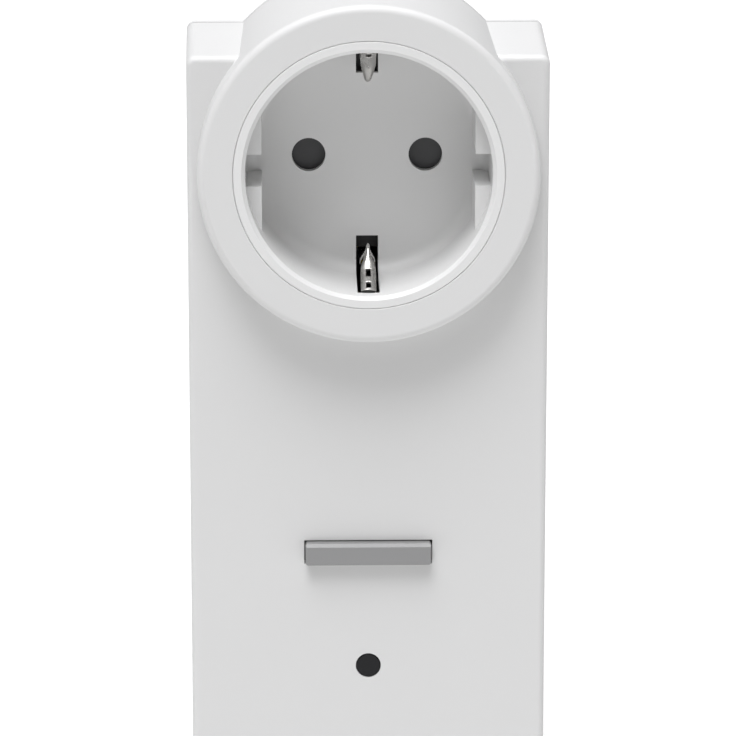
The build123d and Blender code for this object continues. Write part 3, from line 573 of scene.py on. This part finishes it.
# ---- fasteners ----
HEAD_CROWN = ((1.0, 0.0), (1.0, 0.45), (0.96, 0.66), (0.84, 0.84), (0.62, 0.96), (0.3, 1.0))
CROSS_ARM, CROSS_HALF_W, CROSS_FLOOR, CROSS_TAPER = 0.52, 0.12, 0.35, 0.62  # shares of the head
THREAD_ROOT = 0.76  # share of the shank's radius
THREAD_ROWS = 7  # in one turn
POINT_LENGTH, POINT_TIP = 1.6, 0.12


def screw_shape(shank_r, head_r, head_t, length, pitch):
    """Pan head screw along Z: seat at 0, head above, cut thread and point below."""
    head = bmesh.new()
    turned(head, [(head_r * r, head_t * h) for r, h in HEAD_CROWN], (0, 0, 0), (0, 0, 1), 40)
    arm, half = head_r * CROSS_ARM, head_r * CROSS_HALF_W
    for along_x in (True, False):
        tool = bmesh.new()
        rings = []
        for z, shrink in ((head_t * CROSS_FLOOR, CROSS_TAPER), (head_t + 0.2, 1.0)):
            x, y = (arm * shrink, half) if along_x else (half, arm * shrink)
            rings.append([Vector((a * x, b * y, z)) for a, b in SQUARE])
        skin(tool, rings)
        head = cut(head, tool)
    root = shank_r * THREAD_ROOT
    at = ridged(root, shank_r, pitch)

    def tapered(radius, depth, taper):
        return lambda turn: (root + (radius(turn) - root) * depth) * taper

    count = int(length / pitch * THREAD_ROWS)
    rings = []
    for i in range(count + 1):
        z = -length * i / count
        point = min((z + length) / (shank_r * POINT_LENGTH) + POINT_TIP, 1.0)
        rings.append((tapered(at(z), min(-z / pitch, 1.0), point), z))
    turned(head, rings, (0, 0, 0), (0, 0, 1), 24)
    return head


def screws(name, node, places, direction, sizes):
    """A set of like screws standing at their seats."""
    one = screw_shape(*sizes)
    shape = bmesh.new()
    for place in places:
        add(shape, one, facing(Vector(place), direction))
    one.free()
    make(name, shape, "screw_steel", (node,), sharp=50)


def corners(node, inset):
    """The four corners of a node in X and Z, moved in by its screws' head radius."""
    low, high = span(node)
    xs = (low.x + inset, high.x - inset)
    return [(x, z) for x in xs for z in (low.z + inset, high.z - inset)]


HOUSING_SCREW = (1.4, 2.7, 1.8, 16.0, 1.1)  # shank and head radius, head thickness, length, pitch
BOARD_SCREW = (1.1, 2.2, 1.4, 5.6, 0.8)
SMALL_SCREW = (1.1, 2.0, 1.2, 6.6, 0.8)
CARRIER_SCREW = (1.1, 2.0, 1.2, 5.8, 0.8)
HEAD_R, HEAD_T = 1, 2  # their places in a screw's sizes
LEFT_SCREW_Z = -53.5


def fasteners():
    """The four sets of screws, each at its seats."""
    seat = span("housing_screws")[1].y - HOUSING_SCREW[HEAD_T]
    spots = [(x, seat, z) for x, z in corners("housing_screws", HOUSING_SCREW[HEAD_R])]
    screws("housing_screw_set", "housing_screws", spots, BACKWARD, HOUSING_SCREW)
    seat = span("control_board")[1].y
    spots = [(x, seat, z) for x, z in corners("control_board_screws", SMALL_SCREW[HEAD_R])]
    screws("control_board_screw_set", "control_board_screws", spots, BACKWARD, SMALL_SCREW)
    seat = span("main_board")[0].y
    low, high = span("main_board_screws")
    inset = BOARD_SCREW[HEAD_R]
    spots = [(low.x + inset, seat, LEFT_SCREW_Z), (high.x - inset, seat, high.z - inset),
             (0, seat, low.z + inset)]
    screws("main_board_screw_set", "main_board_screws", spots, FRONTWARD, BOARD_SCREW)
    high = span("carrier_screws")[1]
    reach = high.x - CARRIER_SCREW[HEAD_R]
    spots = [(s * reach, high.y - CARRIER_SCREW[HEAD_T], s * reach) for s in SIGNS]
    screws("carrier_screw_set", "carrier_screws", spots, BACKWARD, CARRIER_SCREW)


# ---- socket ----
CLIP_T = 0.5
CLIP_BEND = 1.3
CLIP_HALF_W = 1.22
CLIP_CROWN = 0.36
CLIP_STEP = 0.25
CLIP_START = 3.3  # its front end, behind the socket's rim
CLIP_LINE = ((3.5, 19.7), (7.9, 16.9), (10.6, 13.35), (13.6, 17.5))  # behind the rim, off the axis
CLIP_FOOT = (17.5, 12.6)  # off the axis
CLIP_EDGE = 0.08
NOSE_START, NOSE_BACK, NOSE_END = 7.6, 11.2, 13.2
CLIP_NOSE = {1: (0.5, 3.4), -1: (0.28, 2.6)}  # by side: half width, and length of the taper to it
CLIP_WINDOWS = {1: ((3.9, 4.9),), -1: ((3.9, 4.9), (6.0, 7.5))}
MIDDLE_CELLS = (2, 3)  # of the six across a strip


def earth_clip(node, side):
    """Sprung strip, crowned across, narrow at its nose, with windows stamped in its front."""
    low, high = span(node)
    rim = low.y - CLIP_START
    foot = high.y - 0.3
    line = [(0, rim + y, side * z) for y, z in CLIP_LINE] + [(0, foot, side * z) for z in CLIP_FOOT]
    nose_half_w, taper = CLIP_NOSE[side]

    def half(point):
        y = point.y - rim
        if y < NOSE_START or y > NOSE_END:
            return CLIP_HALF_W
        narrowing = min((y - NOSE_START) / taper, 1.0)
        if y >= NOSE_BACK:
            narrowing = 1.0 - (y - NOSE_BACK) / (NOSE_END - NOSE_BACK)
        ease = narrowing * narrowing * (3 - 2 * narrowing)
        return CLIP_HALF_W + (nose_half_w - CLIP_HALF_W) * ease

    def window(one, two, column):
        y = (one.y + two.y) / 2 - rim
        return column in MIDDLE_CELLS and any(start < y < end for start, end in CLIP_WINDOWS[side])

    shape = bmesh.new()
    line = evenly(rounded_line(line, CLIP_BEND, 8), CLIP_STEP)
    strip_along(shape, line, CLIP_T, half, (1, 0, 0), 7, CLIP_CROWN * side, window)
    soften(shape, CLIP_EDGE, segments=3)
    make(node + "_strip", shape, "spring_steel", (node,), sharp=50)


PIN_X = 9.5  # half the pitch of the pins
LEAF_LINE = ((2.45, 0.0), (1.85, 1.8), (2.4, 4.4))  # off the pin's axis, behind the mouth
LEAF_BRIDGE = -22.6  # Y at which the two leaves join
LEAF_SLIT = (0.8, 4.5)
LEAF_T = 0.45


def tulip(node):
    """Two leaves that pinch a pin, with a flared mouth, joined at the back and led on by a strap."""
    x = math.copysign(PIN_X, mid(node).x)
    low, high = span(node)
    mouth = low.y + 0.1
    leaf = [(out, mouth + back) for out, back in LEAF_LINE] + [(LEAF_LINE[-1][0], LEAF_BRIDGE)]
    line = [(x - out, y, 0) for out, y in leaf] + [(x + out, y, 0) for out, y in reversed(leaf)]
    shape = bmesh.new()

    def half(point):
        return 1.7 + 0.55 * min((point.y - mouth) / 3.0, 1.0)

    def slit(one, two, column):
        return column in MIDDLE_CELLS and mouth + LEAF_SLIT[0] < one.y < mouth + LEAF_SLIT[1]

    strip_along(shape, rounded_line(line, 0.9, 6), LEAF_T, half, (0, 0, 1), 7, 0.0, slit)
    soften(shape, 0.06)
    brick(shape, (x - 2.1, LEAF_BRIDGE, -0.35), (x + 2.1, high.y, 0.35), 0.08)
    return shape


def contacts():
    """The two sprung contacts; the line one has a tab to its terminal."""
    make("neutral_contact_leaves", tulip("neutral_contact"), "contact_brass", ("neutral_contact",))
    low, high = span("line_contact")
    x = math.copysign(PIN_X, mid("line_contact").x)
    shape = tulip("line_contact")
    brick(shape, (low.x + 0.04, high.y - 0.8, low.z), (x, high.y, 0.3), 0.08)
    make("line_contact_leaves", shape, "contact_brass", ("line_contact",))


def spring():
    """Torsion spring with its two legs turned out."""
    low, high = span("shutter_spring")
    wire, radius, turns, leg = 0.2, 3.15, 2.6, 0.9
    start, end = low.y + wire, high.y - wire
    count = int(turns * 36)
    path = []
    for i in range(count + 1):
        share = i / count
        turn = math.tau * turns * share
        path.append(Vector((radius * math.cos(turn), start + (end - start) * share, radius * math.sin(turn))))
    first = path[0] + Vector((leg, 0, -0.2))
    last = path[-1] + (path[-1] - Vector((0, path[-1].y, 0))).normalized() * leg
    shape = bmesh.new()
    swept(shape, [first] + path + [last], wire, 10)
    make("shutter_spring_coil", shape, "spring_steel", ("shutter_spring",))


# ---- control board ----
def tact_switch():
    """Moulded base with a pressed cover held by four rivets, and four legs; the plunger moves inside."""
    low, high = span("tact_switch")
    x, z = mid("tact_switch").x, mid("tact_switch").z
    half, bore, cover_t, inset = high.x - x, 1.75, 0.48, 0.1
    base = bmesh.new()
    brick(base, low + Vector((0, 0.5, 0)), high, 0.15)
    base = bored(base, bore, 0.0, 2.3, (x, low.y - 0.2, z), BACKWARD)
    make("switch_base", base, "black_plastic", ("tact_switch",))
    cover = bmesh.new()
    cover_corner = (x + half - inset, low.y + cover_t, z + half - inset)
    brick(cover, low + Vector((inset, 0, inset)), cover_corner, 0.1)
    cover = bored(cover, bore + inset, 0.0, 1.2, (x, low.y - 0.4, z), BACKWARD)
    make("switch_cover", cover, "tinned_leads")
    rivets, legs = bmesh.new(), bmesh.new()
    rivet_in = half - 0.75
    leg_line = ((-0.2, 0.9), (0.35, 0.9), (0.6, 0.12), (1.2, 0.12))  # out from the base, above the board
    for sx, sz in FOUR_SIGNS:
        spot = (x + sx * rivet_in, low.y, z + sz * rivet_in)
        turned(rivets, [(0.36, 0.3), (0.36, -0.04), (0.2, -0.12)], spot, BACKWARD, 16)
        edge_x, leg_z = x + sx * half, z + sz * 2.2
        line = [(edge_x + sx * out, high.y - up, leg_z) for out, up in leg_line]
        strip_along(legs, rounded_line(line, 0.3, 4), 0.2, 0.35, (0, 0, 1), 3)
    make("switch_rivets", rivets, "black_plastic")
    make("switch_legs", legs, "tinned_leads")


def lamp():
    """Domed lamp with a flange."""
    low, high = span("status_lamp")
    radius, flange_r = 1.5, 1.9
    height = high.y - low.y
    dome = [(flange_r, 0.0), (flange_r, 0.75), (radius, 0.8), (radius, height - radius)]
    for rise in (0.3, 0.6, 0.9, 1.2, 1.45):
        dome.append((radius * math.cos(rise), height - radius + radius * math.sin(rise)))
    shape = bmesh.new()
    turned(shape, dome, (mid("status_lamp").x, high.y, mid("status_lamp").z), FRONTWARD, 32)
    make("status_lamp_dome", shape, "lamp_clear", ("status_lamp",))


def radio():
    """Pressed can with rows of vent holes."""
    low, high = span("radio_shield")
    top, wall = low.y, 0.2
    shape = bmesh.new()
    columns, rows, apart, margin = 23, 19, 4, 2  # grid of the top, and the holes in it
    width, height = high.x - low.x, high.z - low.z

    def place(i, j):
        x = low.x + width * i / (columns - 1)
        z = low.z + height * j / (rows - 1)
        return Vector((x, top + wall / 2, z)), Vector(FRONTWARD)

    def hole(i, j):
        inside = i < columns - margin - 1 and j < rows - margin - 1
        return inside and i % apart == margin and j % apart == margin

    plate(shape, range(columns), range(rows), place, wall, hole)
    for x in (low.x, high.x - wall):
        brick(shape, (x, top + 0.05, low.z), (x + wall, high.y, high.z), 0.06)
    for z in (low.z, high.z - wall):
        brick(shape, (low.x, top + 0.05, z), (high.x, high.y, z + wall), 0.06)
    make("radio_can", shape, "tinned_leads", ("radio_shield",))


HEADER_PINS = 4
HEADER_PITCH = 2.5
HEADER_PIN_HALF = 0.3


def peg(shape, x, z, stations):
    """Square bar along Y; each station is a place along it and half the width there."""
    skin(shape, [[Vector((x + a * half, y, z + b * half)) for a, b in SQUARE] for y, half in stations])


def header():
    """Socket strip with a lead-in for each pin, and pointed square pins on a moulded bar."""
    low, high = span("board_header")
    pitch = (high.x - low.x) / HEADER_PINS
    front, back, z = low.y, high.y, mid("board_header").z
    socket, tool = bmesh.new(), bmesh.new()
    for i in range(HEADER_PINS):
        x = low.x + pitch * i
        brick(socket, (x + 0.02, front + 0.05, low.z), (x + pitch - 0.02, back, high.z), 0.15)
        x = low.x + pitch * (i + 0.5)
        peg(tool, x, z, ((front - 0.3, 0.8), (front + 0.5, 0.42), (front + 3.0, 0.4)))
    make("header_socket", cut(socket, tool), "black_plastic", ("board_header",))
    low, high = span("header_pins")
    front, back, z = low.y, high.y, mid("header_pins").z
    pins, bar = bmesh.new(), bmesh.new()
    for i in range(HEADER_PINS):
        x = low.x + HEADER_PIN_HALF + HEADER_PITCH * i
        peg(pins, x, z, ((front, HEADER_PIN_HALF), (back - 0.5, HEADER_PIN_HALF), (back, 0.13)))
        brick(bar, (x - 1.23, front, z - 1.2), (x + 1.23, front + 2.2, z + 1.2), 0.25)
    make("header_pin_row", pins, "tinned_leads", ("header_pins",))
    make("header_pin_bar", bar, "black_plastic")


# ---- main board ----
RELAY_BOBBIN_R = 2.7


def winding_pieces():
    """The relay's coil, and the choke's drum core with its winding."""
    low, high = span("relay_coil")
    radius = (high.x - low.x) / 2
    shape = bmesh.new()
    coiled(shape, mid("relay_coil"), BACKWARD, RELAY_BOBBIN_R, radius, high.y - low.y, 0.4)
    make("relay_coil_turns", shape, "copper_wire", ("relay_coil",), sharp=80)
    low, high = span("choke")
    centre, radius = mid("choke"), (high.x - low.x) / 2
    core = bmesh.new()
    reach = (high.y - low.y) / 2
    half = [(radius - 0.2, reach), (radius, reach - 0.2), (radius, reach - 1.0), (radius - 0.2, reach - 1.2),
            (radius - 1.4, reach - 1.25)]
    turned(core, half + [(r, -h) for r, h in reversed(half)], centre, BACKWARD, 40)
    make("choke_core", core, "ferrite", ("choke",))
    coil = bmesh.new()
    coiled(coil, centre, BACKWARD, radius - 1.45, radius - 0.25, 2 * reach - 2.6, 0.36, 36)
    make("choke_turns", coil, "copper_wire", sharp=80)


def transformer():
    """Taped winding between two bobbin flanges, with one more turn of tape round its middle."""
    low, high = span("transformer_winding")
    centre = mid("transformer_winding")
    half = (high - low) / 2

    def ring(y, inset, power=5.0, steps=48):
        """Superellipse in X and Z."""
        points = []
        for i in range(steps):
            turn = math.tau * i / steps
            c, s = math.cos(turn), math.sin(turn)
            x = math.copysign(abs(c) ** (2 / power), c) * (half.x - inset)
            z = math.copysign(abs(s) ** (2 / power), s) * (half.z - inset)
            points.append(Vector((centre.x + x, centre.y + y, centre.z + z)))
        return points

    shape = bmesh.new()
    band = [(-1.0, 0.32), (-0.96, 0.26), (1.0, 0.26), (1.04, 0.32)]  # the last turn of tape
    body = [(-half.y + 0.9, 0.9), (-half.y + 1.1, 0.55)] + band + [(half.y - 1.1, 0.55), (half.y - 0.9, 0.9)]
    skin(shape, [ring(y, inset) for y, inset in body])
    make("transformer_tape", shape, "tape_amber", ("transformer_winding",))
    flanges = bmesh.new()
    for side in SIGNS:
        edge = [(0.0, 0.15), (0.1, 0.0), (0.75, 0.0), (0.85, 0.15)]
        skin(flanges, [ring(side * (half.y - y), inset, 9.0) for y, inset in edge])
    make("transformer_flanges", flanges, "black_plastic")


def cans():
    """Two electrolytic cans: shrunk sleeve with a bead, and a scored top."""
    low, high = span("bulk_capacitors")
    radius = (high.x - low.x) / 2
    x, tall = low.x + radius, high.y - low.y
    sleeve, tops = bmesh.new(), bmesh.new()
    low_part = ((0.5, 0.0), (0.05, 0.25), (0.0, 0.7), (0.0, 1.5), (0.3, 1.85), (0.35, 2.1), (0.3, 2.35),
                (0.0, 2.7))
    high_part = ((0.0, 0.7), (0.12, 0.25), (0.45, 0.02), (0.95, 0.0), (1.0, 0.15), (1.05, 0.16))
    profile = [(radius - inset, up) for inset, up in low_part]
    profile += [(radius - inset, tall - down) for inset, down in high_part]
    top = bmesh.new()
    disc = [(radius - inset, tall - down) for inset, down in ((1.0, 0.6), (1.0, 0.12), (1.2, 0.05))]
    turned(top, disc, (0, 0, 0), (0, 0, 1), 40)
    score_reach, score_half = radius - 1.9, 0.12
    for turn in range(3):
        tool = bmesh.new()
        brick(tool, (-score_reach, -score_half, tall - 0.18), (score_reach, score_half, tall + 0.4), 0.03, 1)
        spin = Matrix.Rotation(math.pi / 3 * turn, 3, "Z")
        bmesh.ops.rotate(tool, cent=(0, 0, 0), matrix=spin, verts=tool.verts)
        top = cut(top, tool)
    for z in (low.z + radius, high.z - radius):
        turned(sleeve, profile, (x, high.y, z), FRONTWARD, 40)
        add(tops, top, facing(Vector((x, high.y, z)), FRONTWARD))
    top.free()
    make("capacitor_sleeves", sleeve, "can_sleeve", ("bulk_capacitors",))
    make("capacitor_tops", tops, "nickel")


def film_capacitor():
    """Boxed capacitor on four small feet."""
    low, high = span("film_capacitor")
    foot, inset = 1.2, 0.3
    shape = bmesh.new()
    brick(shape, low, (high.x, high.y - 0.5, high.z), 0.6, 4)
    for x in (low.x + inset, high.x - inset - foot):
        for z in (low.z + inset, high.z - inset - foot):
            brick(shape, (x, high.y - foot, z), (x + foot, high.y, z + foot), 0.15)
    make("film_capacitor_case", shape, "capacitor_yellow", ("film_capacitor",))


def varistor():
    """Dipped disc, thicker in the middle, whose coating runs a little way down the leads."""
    low, high = span("varistor")
    centre = mid("varistor")
    radius, half = (high.x - low.x) / 2, (high.z - low.z) / 2
    flatness = 0.62  # of the dome's curve
    dome = []
    for rise in (1.4, 1.15, 0.9, 0.65, 0.4, 0.2, 0.07):
        dome.append((radius * math.cos(rise), half * math.sin(rise) ** flatness))
    profile = dome + [(radius, 0.0)] + [(r, -h) for r, h in reversed(dome)]
    shape = bmesh.new()
    turned(shape, profile, centre, (0, 0, 1), 48)
    leads = bmesh.new()
    board, foot, z = span("main_board")[0].y, high.y, centre.z
    for side in SIGNS:
        x, bend = centre.x + side * 3.1, centre.x + side * 2.6
        inside = (bend, centre.y + 3.2, z)
        swept(shape, [inside, (bend, foot - 0.6, z), (bend, foot + 0.2, z)], [0.9, 0.75, 0.42], 12)
        run = [inside, (bend, foot - 0.1, z), (x, board - 0.6, z), (x, board, z)]
        swept(leads, rounded_line(run, 0.5, 4), 0.33, 10)
    make("varistor_disc", shape, "varistor_blue", ("varistor",))
    make("varistor_lead_pair", leads, "tinned_leads", ("varistor_leads",))


def fuse():
    """Glass tube, its wire, and two end caps held by sprung feet."""
    low, high = span("fuse_caps")
    centre = mid("fuse_tube")
    y, z = centre.y, centre.z
    radius, deep = (high.z - low.z) / 2, 5.0
    tube_low, tube_high = span("fuse_tube")
    glass = bmesh.new()
    outer, inner, reach = radius - 0.22, radius - 0.75, (tube_high.x - tube_low.x) / 2
    turned(glass, [(outer, -reach), (outer, reach), (inner, reach), (inner, -reach)],
           centre, (1, 0, 0), 36, closed=True)
    make("fuse_glass_tube", glass, "fuse_glass", ("fuse_tube",))
    wire, sag = bmesh.new(), 0.3
    swept(wire, [(tube_low.x, y, z), (centre.x, y + sag, z), (tube_high.x, y, z)], 0.11, 8)
    make("fuse_wire", wire, "tinned_leads")
    caps = bmesh.new()
    bead = [(radius - 0.25, 0.0), (radius - 0.02, 0.18), (radius, 0.5), (radius, deep - 0.9),
            (radius - 0.08, deep - 0.6), (radius, deep - 0.4), (radius, deep - 0.1), (radius - 0.15, deep)]
    board = span("main_board")[0].y
    foot_line = ((y + 0.2, radius - 0.1), (y + 1.4, radius - 0.5), (board - 0.5, 0.6), (board, 0.6))
    for side, end in ((-1, low.x), (1, high.x)):
        turned(caps, bead, (end, y, z), (-side, 0, 0), 36)
        foot_x = end - side * deep / 2
        for lean in SIGNS:
            line = [(foot_x, at, z + lean * out) for at, out in foot_line]
            strip_along(caps, rounded_line(line, 0.6, 5), 0.3, 0.95, (1, 0, 0), 5)
    make("fuse_cap_pair", caps, "tinned_leads", ("fuse_caps",))


def shunt():
    """Bent strip with rounded corners."""
    low, high = span("shunt")
    z, thick = mid("shunt").z, 0.8
    left, right, top = low.x + thick / 2, high.x - thick / 2, low.y + thick / 2
    line = [(left, high.y, z), (left, top, z), (right, top, z), (right, high.y, z)]
    shape = bmesh.new()
    strip_along(shape, rounded_line(line, 1.1, 8), thick, (high.z - low.z) / 2, (0, 0, 1), 5)
    soften(shape, 0.08)
    make("shunt_strip", shape, "copper_wire", ("shunt",), look="copper_sheet")


PACKAGES = (  # x range, z range, height, legs on a side
    ((-21.0, -11.0), (-90.5, -84.5), 1.7, 8),
    ((3.0, 8.0), (-68.0, -64.0), 1.6, 4),
    ((17.5, 23.5), (-58.0, -53.5), 2.4, 2),
    ((-7.0, -2.4), (-92.0, -85.5), 3.6, 2),
    ((0.0, 4.6), (-92.0, -85.5), 3.6, 2),
)


OPTOCOUPLER_H = 3.0  # packages taller than this are optocouplers
DOT_R, DOT_DEEP, DOT_IN = 0.3, 0.12, 0.9


def packages():
    """Moulded chips with a waist at the parting, a dot at the first leg, and bent legs."""
    board = span("main_board")[0].y
    bodies, tall_bodies, legs = bmesh.new(), bmesh.new(), bmesh.new()
    for xs, zs, height, count in PACKAGES:
        waist, top = board - height * 0.5, board - height
        rings = []
        for y, inset in ((board - 0.15, 0.22), (waist + 0.1, 0.0), (waist - 0.1, 0.0), (top, 0.28)):
            sides = {-1: (xs[0] + inset, zs[0] + inset), 1: (xs[1] - inset, zs[1] - inset)}
            rings.append([Vector((sides[a][0], y, sides[b][1])) for a, b in SQUARE])
        block = bmesh.new()
        skin(block, rings)
        soften(block, 0.08, 8)
        block = bored(block, DOT_R, -DOT_DEEP, 0.5, (xs[0] + DOT_IN, top, zs[0] + DOT_IN), steps=20)
        add(tall_bodies if height > OPTOCOUPLER_H else bodies, block, Matrix.Identity(4))
        block.free()
        pitch = (xs[1] - xs[0]) / count
        leg_line = ((waist, -0.3), (waist, 0.3), (board - 0.1, 0.5), (board - 0.1, 0.95))
        for i in range(count):
            x = xs[0] + pitch * (i + 0.5)
            for side, z in zip(SIGNS, zs):
                line = [(x, y, z + side * out) for y, out in leg_line]
                strip_along(legs, rounded_line(line, 0.25, 4), 0.16, min(pitch * 0.2, 0.4), (1, 0, 0), 3)
    make("chip_bodies", bodies, "black_plastic", ("chips",), sharp=25)
    make("optocoupler_bodies", tall_bodies, "black_plastic", ("optocouplers",), sharp=25)
    make("chip_legs", legs, "tinned_leads")


CHIP_L, CHIP_HALF_W, CHIP_H, CHIP_END = 1.6, 0.4, 0.6, 0.3


def chip_spots():
    """Places of the small parts of both boards: left end, face of the board, middle."""
    main, control = span("main_board")[0].y, span("control_board")[0].y
    for i in range(5):
        yield -22.5 + 3.0 * i, main, -80.4
        yield 3.0, main, -71.8 - 2.0 * i
    for i in range(4):
        yield 9.0, control, -69.8 - 2.4 * i
        yield -11.2, control, -82.2 - 1.8 * i


def small_parts():
    """Chip resistors and capacitors: dark bodies, tinned ends, and a little solder at each end."""
    bodies, ends = bmesh.new(), bmesh.new()
    for x, face, z in chip_spots():
        brick(bodies, (x + 0.22, face - 0.55, z - 0.38), (x + CHIP_L - 0.22, face - 0.05, z + 0.38), 0.04)
        for start in (x, x + CHIP_L - CHIP_END):
            low = (start, face - CHIP_H, z - CHIP_HALF_W)
            brick(ends, low, (start + CHIP_END, face - 0.02, z + CHIP_HALF_W), 0.07)
            spot = (start + CHIP_END / 2, face, z)
            turned(ends, [(0.5, 0.0), (0.42, 0.12), (0.2, 0.2)], spot, FRONTWARD, 14)
    make("chip_part_bodies", bodies, "black_plastic", ("small_parts",))
    make("chip_part_ends", ends, "tinned_leads")


TERMINAL_X = {"wire_line_in": 9.5, "wire_neutral": -9.5, "wire_line_out": 2.5}
TERMINAL_HALF_W = 1.9
WELL_R = 1.05


def terminals():
    """Clamp blocks with a slotted screw each."""
    low, high = span("wire_terminals")
    blocks, heads = bmesh.new(), bmesh.new()
    face, z = low.y + 0.25, mid("wire_terminals").z
    head = bmesh.new()
    turned(head, [(0.9, -0.5), (0.9, 0.12), (0.78, 0.22)], (0, 0, 0), (0, 0, 1), 28)
    tool = bmesh.new()
    brick(tool, (-1.2, -0.14, -0.12), (1.2, 0.14, 0.6), 0.03, 1)
    head = cut(head, tool)
    for x in sorted(TERMINAL_X.values()):
        block = bmesh.new()
        corner = (x + TERMINAL_HALF_W, high.y, high.z)
        brick(block, (x - TERMINAL_HALF_W, face, low.z), corner, 0.2, 3)
        block = bored(block, WELL_R, -0.8, 1.0, (x, face, z), steps=28)
        add(blocks, block, Matrix.Identity(4))
        block.free()
        add(heads, head, facing(Vector((x, face + 0.5, z)), FRONTWARD))
    head.free()
    make("terminal_blocks", blocks, "terminal_green", ("wire_terminals",))
    make("terminal_screws", heads, "screw_steel")


SOLDER_SPOTS = (
    [(x, z) for x in sorted(TERMINAL_X.values()) for z in (-32.2, -31.2)]
    + [(4.4, -42.7), (18.6, -42.7)]  # film capacitor
    + [(4.4, -51.8), (10.6, -51.8)]  # varistor
    + [(-3.5, -58.5), (11.5, -58.5)]  # fuse
    + [(-17.5, -55.8), (-9.5, -55.8)]  # shunt
    + [(17.5, -70.2), (17.5, -73.8), (17.5, -82.2), (17.5, -85.8)]  # bulk capacitors
    + [(x, z) for x in (-12.0, -9.0, -5.0, -2.0) for z in (-65.1, -75.9)]  # transformer
    + [(-20.5, -36.5), (-20.5, -47.0), (-5.0, -36.5), (-5.0, -47.0), (-12.5, -35.8)]  # relay
    + [(-22.0, -62.5), (-18.0, -62.5)]  # choke
    + [(-12.75 + HEADER_PITCH * i, -82.5) for i in range(HEADER_PINS)]
)
SOLDER_CONE = [(1.0, -0.02), (0.92, 0.06), (0.62, 0.22), (0.45, 0.55), (0.4, 0.95), (0.36, 1.0)]


def solder_joints():
    """Cones of solder round the leads on the back of the main board, each with its cut lead."""
    back = span("main_board")[1].y
    shape = bmesh.new()
    for x, z in SOLDER_SPOTS:
        turned(shape, SOLDER_CONE, (x, back, z), BACKWARD, 18)
    make("solder_joints", shape, "tinned_leads")


WIRE_R = 1.1
FERRULE = [(1.18, 0.0), (1.18, 1.3), (1.3, 1.5), (1.3, 1.9), (1.12, 2.0)]


def wire_ends():
    """A crimped sleeve round the end of each wire where it goes into its terminal."""
    shape = bmesh.new()
    for node, x in TERMINAL_X.items():
        low = span(node)[0]
        turned(shape, FERRULE, (x, low.y + WIRE_R, low.z), (0, 0, 1), 24)
    make("wire_ferrules", shape, "tinned_leads")


for side, node in ((1, "earth_clip_upper"), (-1, "earth_clip_lower")):
    earth_clip(node, side)
for build in (fasteners, contacts, spring, tact_switch, lamp, radio, header, winding_pieces, transformer,
              cans, film_capacitor, varistor, fuse, shunt, packages, small_parts, terminals,
              solder_joints, wire_ends):
    build()


# ---- floor, light and camera ----
low = cad_box[0]
FLOOR_SIZE = 6.0
FLOOR_DARK, FLOOR_LIGHT = (0.30, 0.30, 0.30), (0.32, 0.32, 0.32)
FLOOR_GLOW = 0.73  # brings the floor up to the photo's plain white ground
FLOOR_CLOUD = 0.4  # metres

bpy.ops.mesh.primitive_plane_add(size=FLOOR_SIZE, location=(0, 0, low.z))
floor = bpy.context.object
floor.name = "floor"
paper = Graph("pale_floor")
tone = paper.noise(FLOOR_CLOUD, 2.0)
paper.wire("Base Color", paper.blend(tone, FLOOR_DARK, FLOOR_LIGHT))
paper.set(Roughness=0.9, Emission_Color=(1, 1, 1, 1), Emission_Strength=FLOOR_GLOW)
floor.data.materials.append(paper.material)

DAYLIGHT = (0.985, 0.985, 1.0)
WORLD_STRENGTH = 0.15
world = bpy.data.worlds.new("studio")
world.use_nodes = True
world.node_tree.nodes["Background"].inputs["Color"].default_value = (*DAYLIGHT, 1)
world.node_tree.nodes["Background"].inputs["Strength"].default_value = WORLD_STRENGTH
scene = bpy.context.scene
scene.world = world
scene.view_settings.view_transform = "Standard"


def sky_panel(name, towards, spread, strength):
    """Wide soft light from far away, shining from a direction."""
    lamp = bpy.data.lights.new(name, "SUN")
    lamp.angle = math.radians(spread)
    lamp.energy = strength
    lamp.color = DAYLIGHT
    holder = bpy.data.objects.new(name, lamp)
    holder.rotation_euler = Vector(towards).to_track_quat("Z", "Y").to_euler()
    scene.collection.objects.link(holder)


sky_panel("key", (-0.16, -0.37, 1.0), 36, 2.5)
sky_panel("front_fill", (-0.16, -0.75, 1.0), 36, 0.5)
sky_panel("overhead", (0.0, 0.0, 1.0), 60, 1.9)

# The camera looks at the front from a little above and a touch to the left, through a long lens.
CAMERA_AWAY = 0.675  # in front of the collar's face
CAMERA_UP = 0.1408  # above the socket's centre
CAMERA_LEFT = 0.0135
CAMERA_TILT = 14.31  # degrees down
CAMERA_TURN = 1.13  # degrees to the right
FOCAL_WIDTHS = 5.895  # focal length in picture widths
SENSOR = 36.0

lens = bpy.data.cameras.new("camera")
lens.sensor_width = SENSOR
lens.lens = SENSOR * FOCAL_WIDTHS
lens.clip_start = 0.01
camera = bpy.data.objects.new("camera", lens)
camera.location = (-CAMERA_LEFT, low.y - CAMERA_AWAY, CAMERA_UP)
camera.rotation_euler = (math.radians(90 - CAMERA_TILT), 0, math.radians(-CAMERA_TURN))
scene.collection.objects.link(camera)
scene.camera = camera
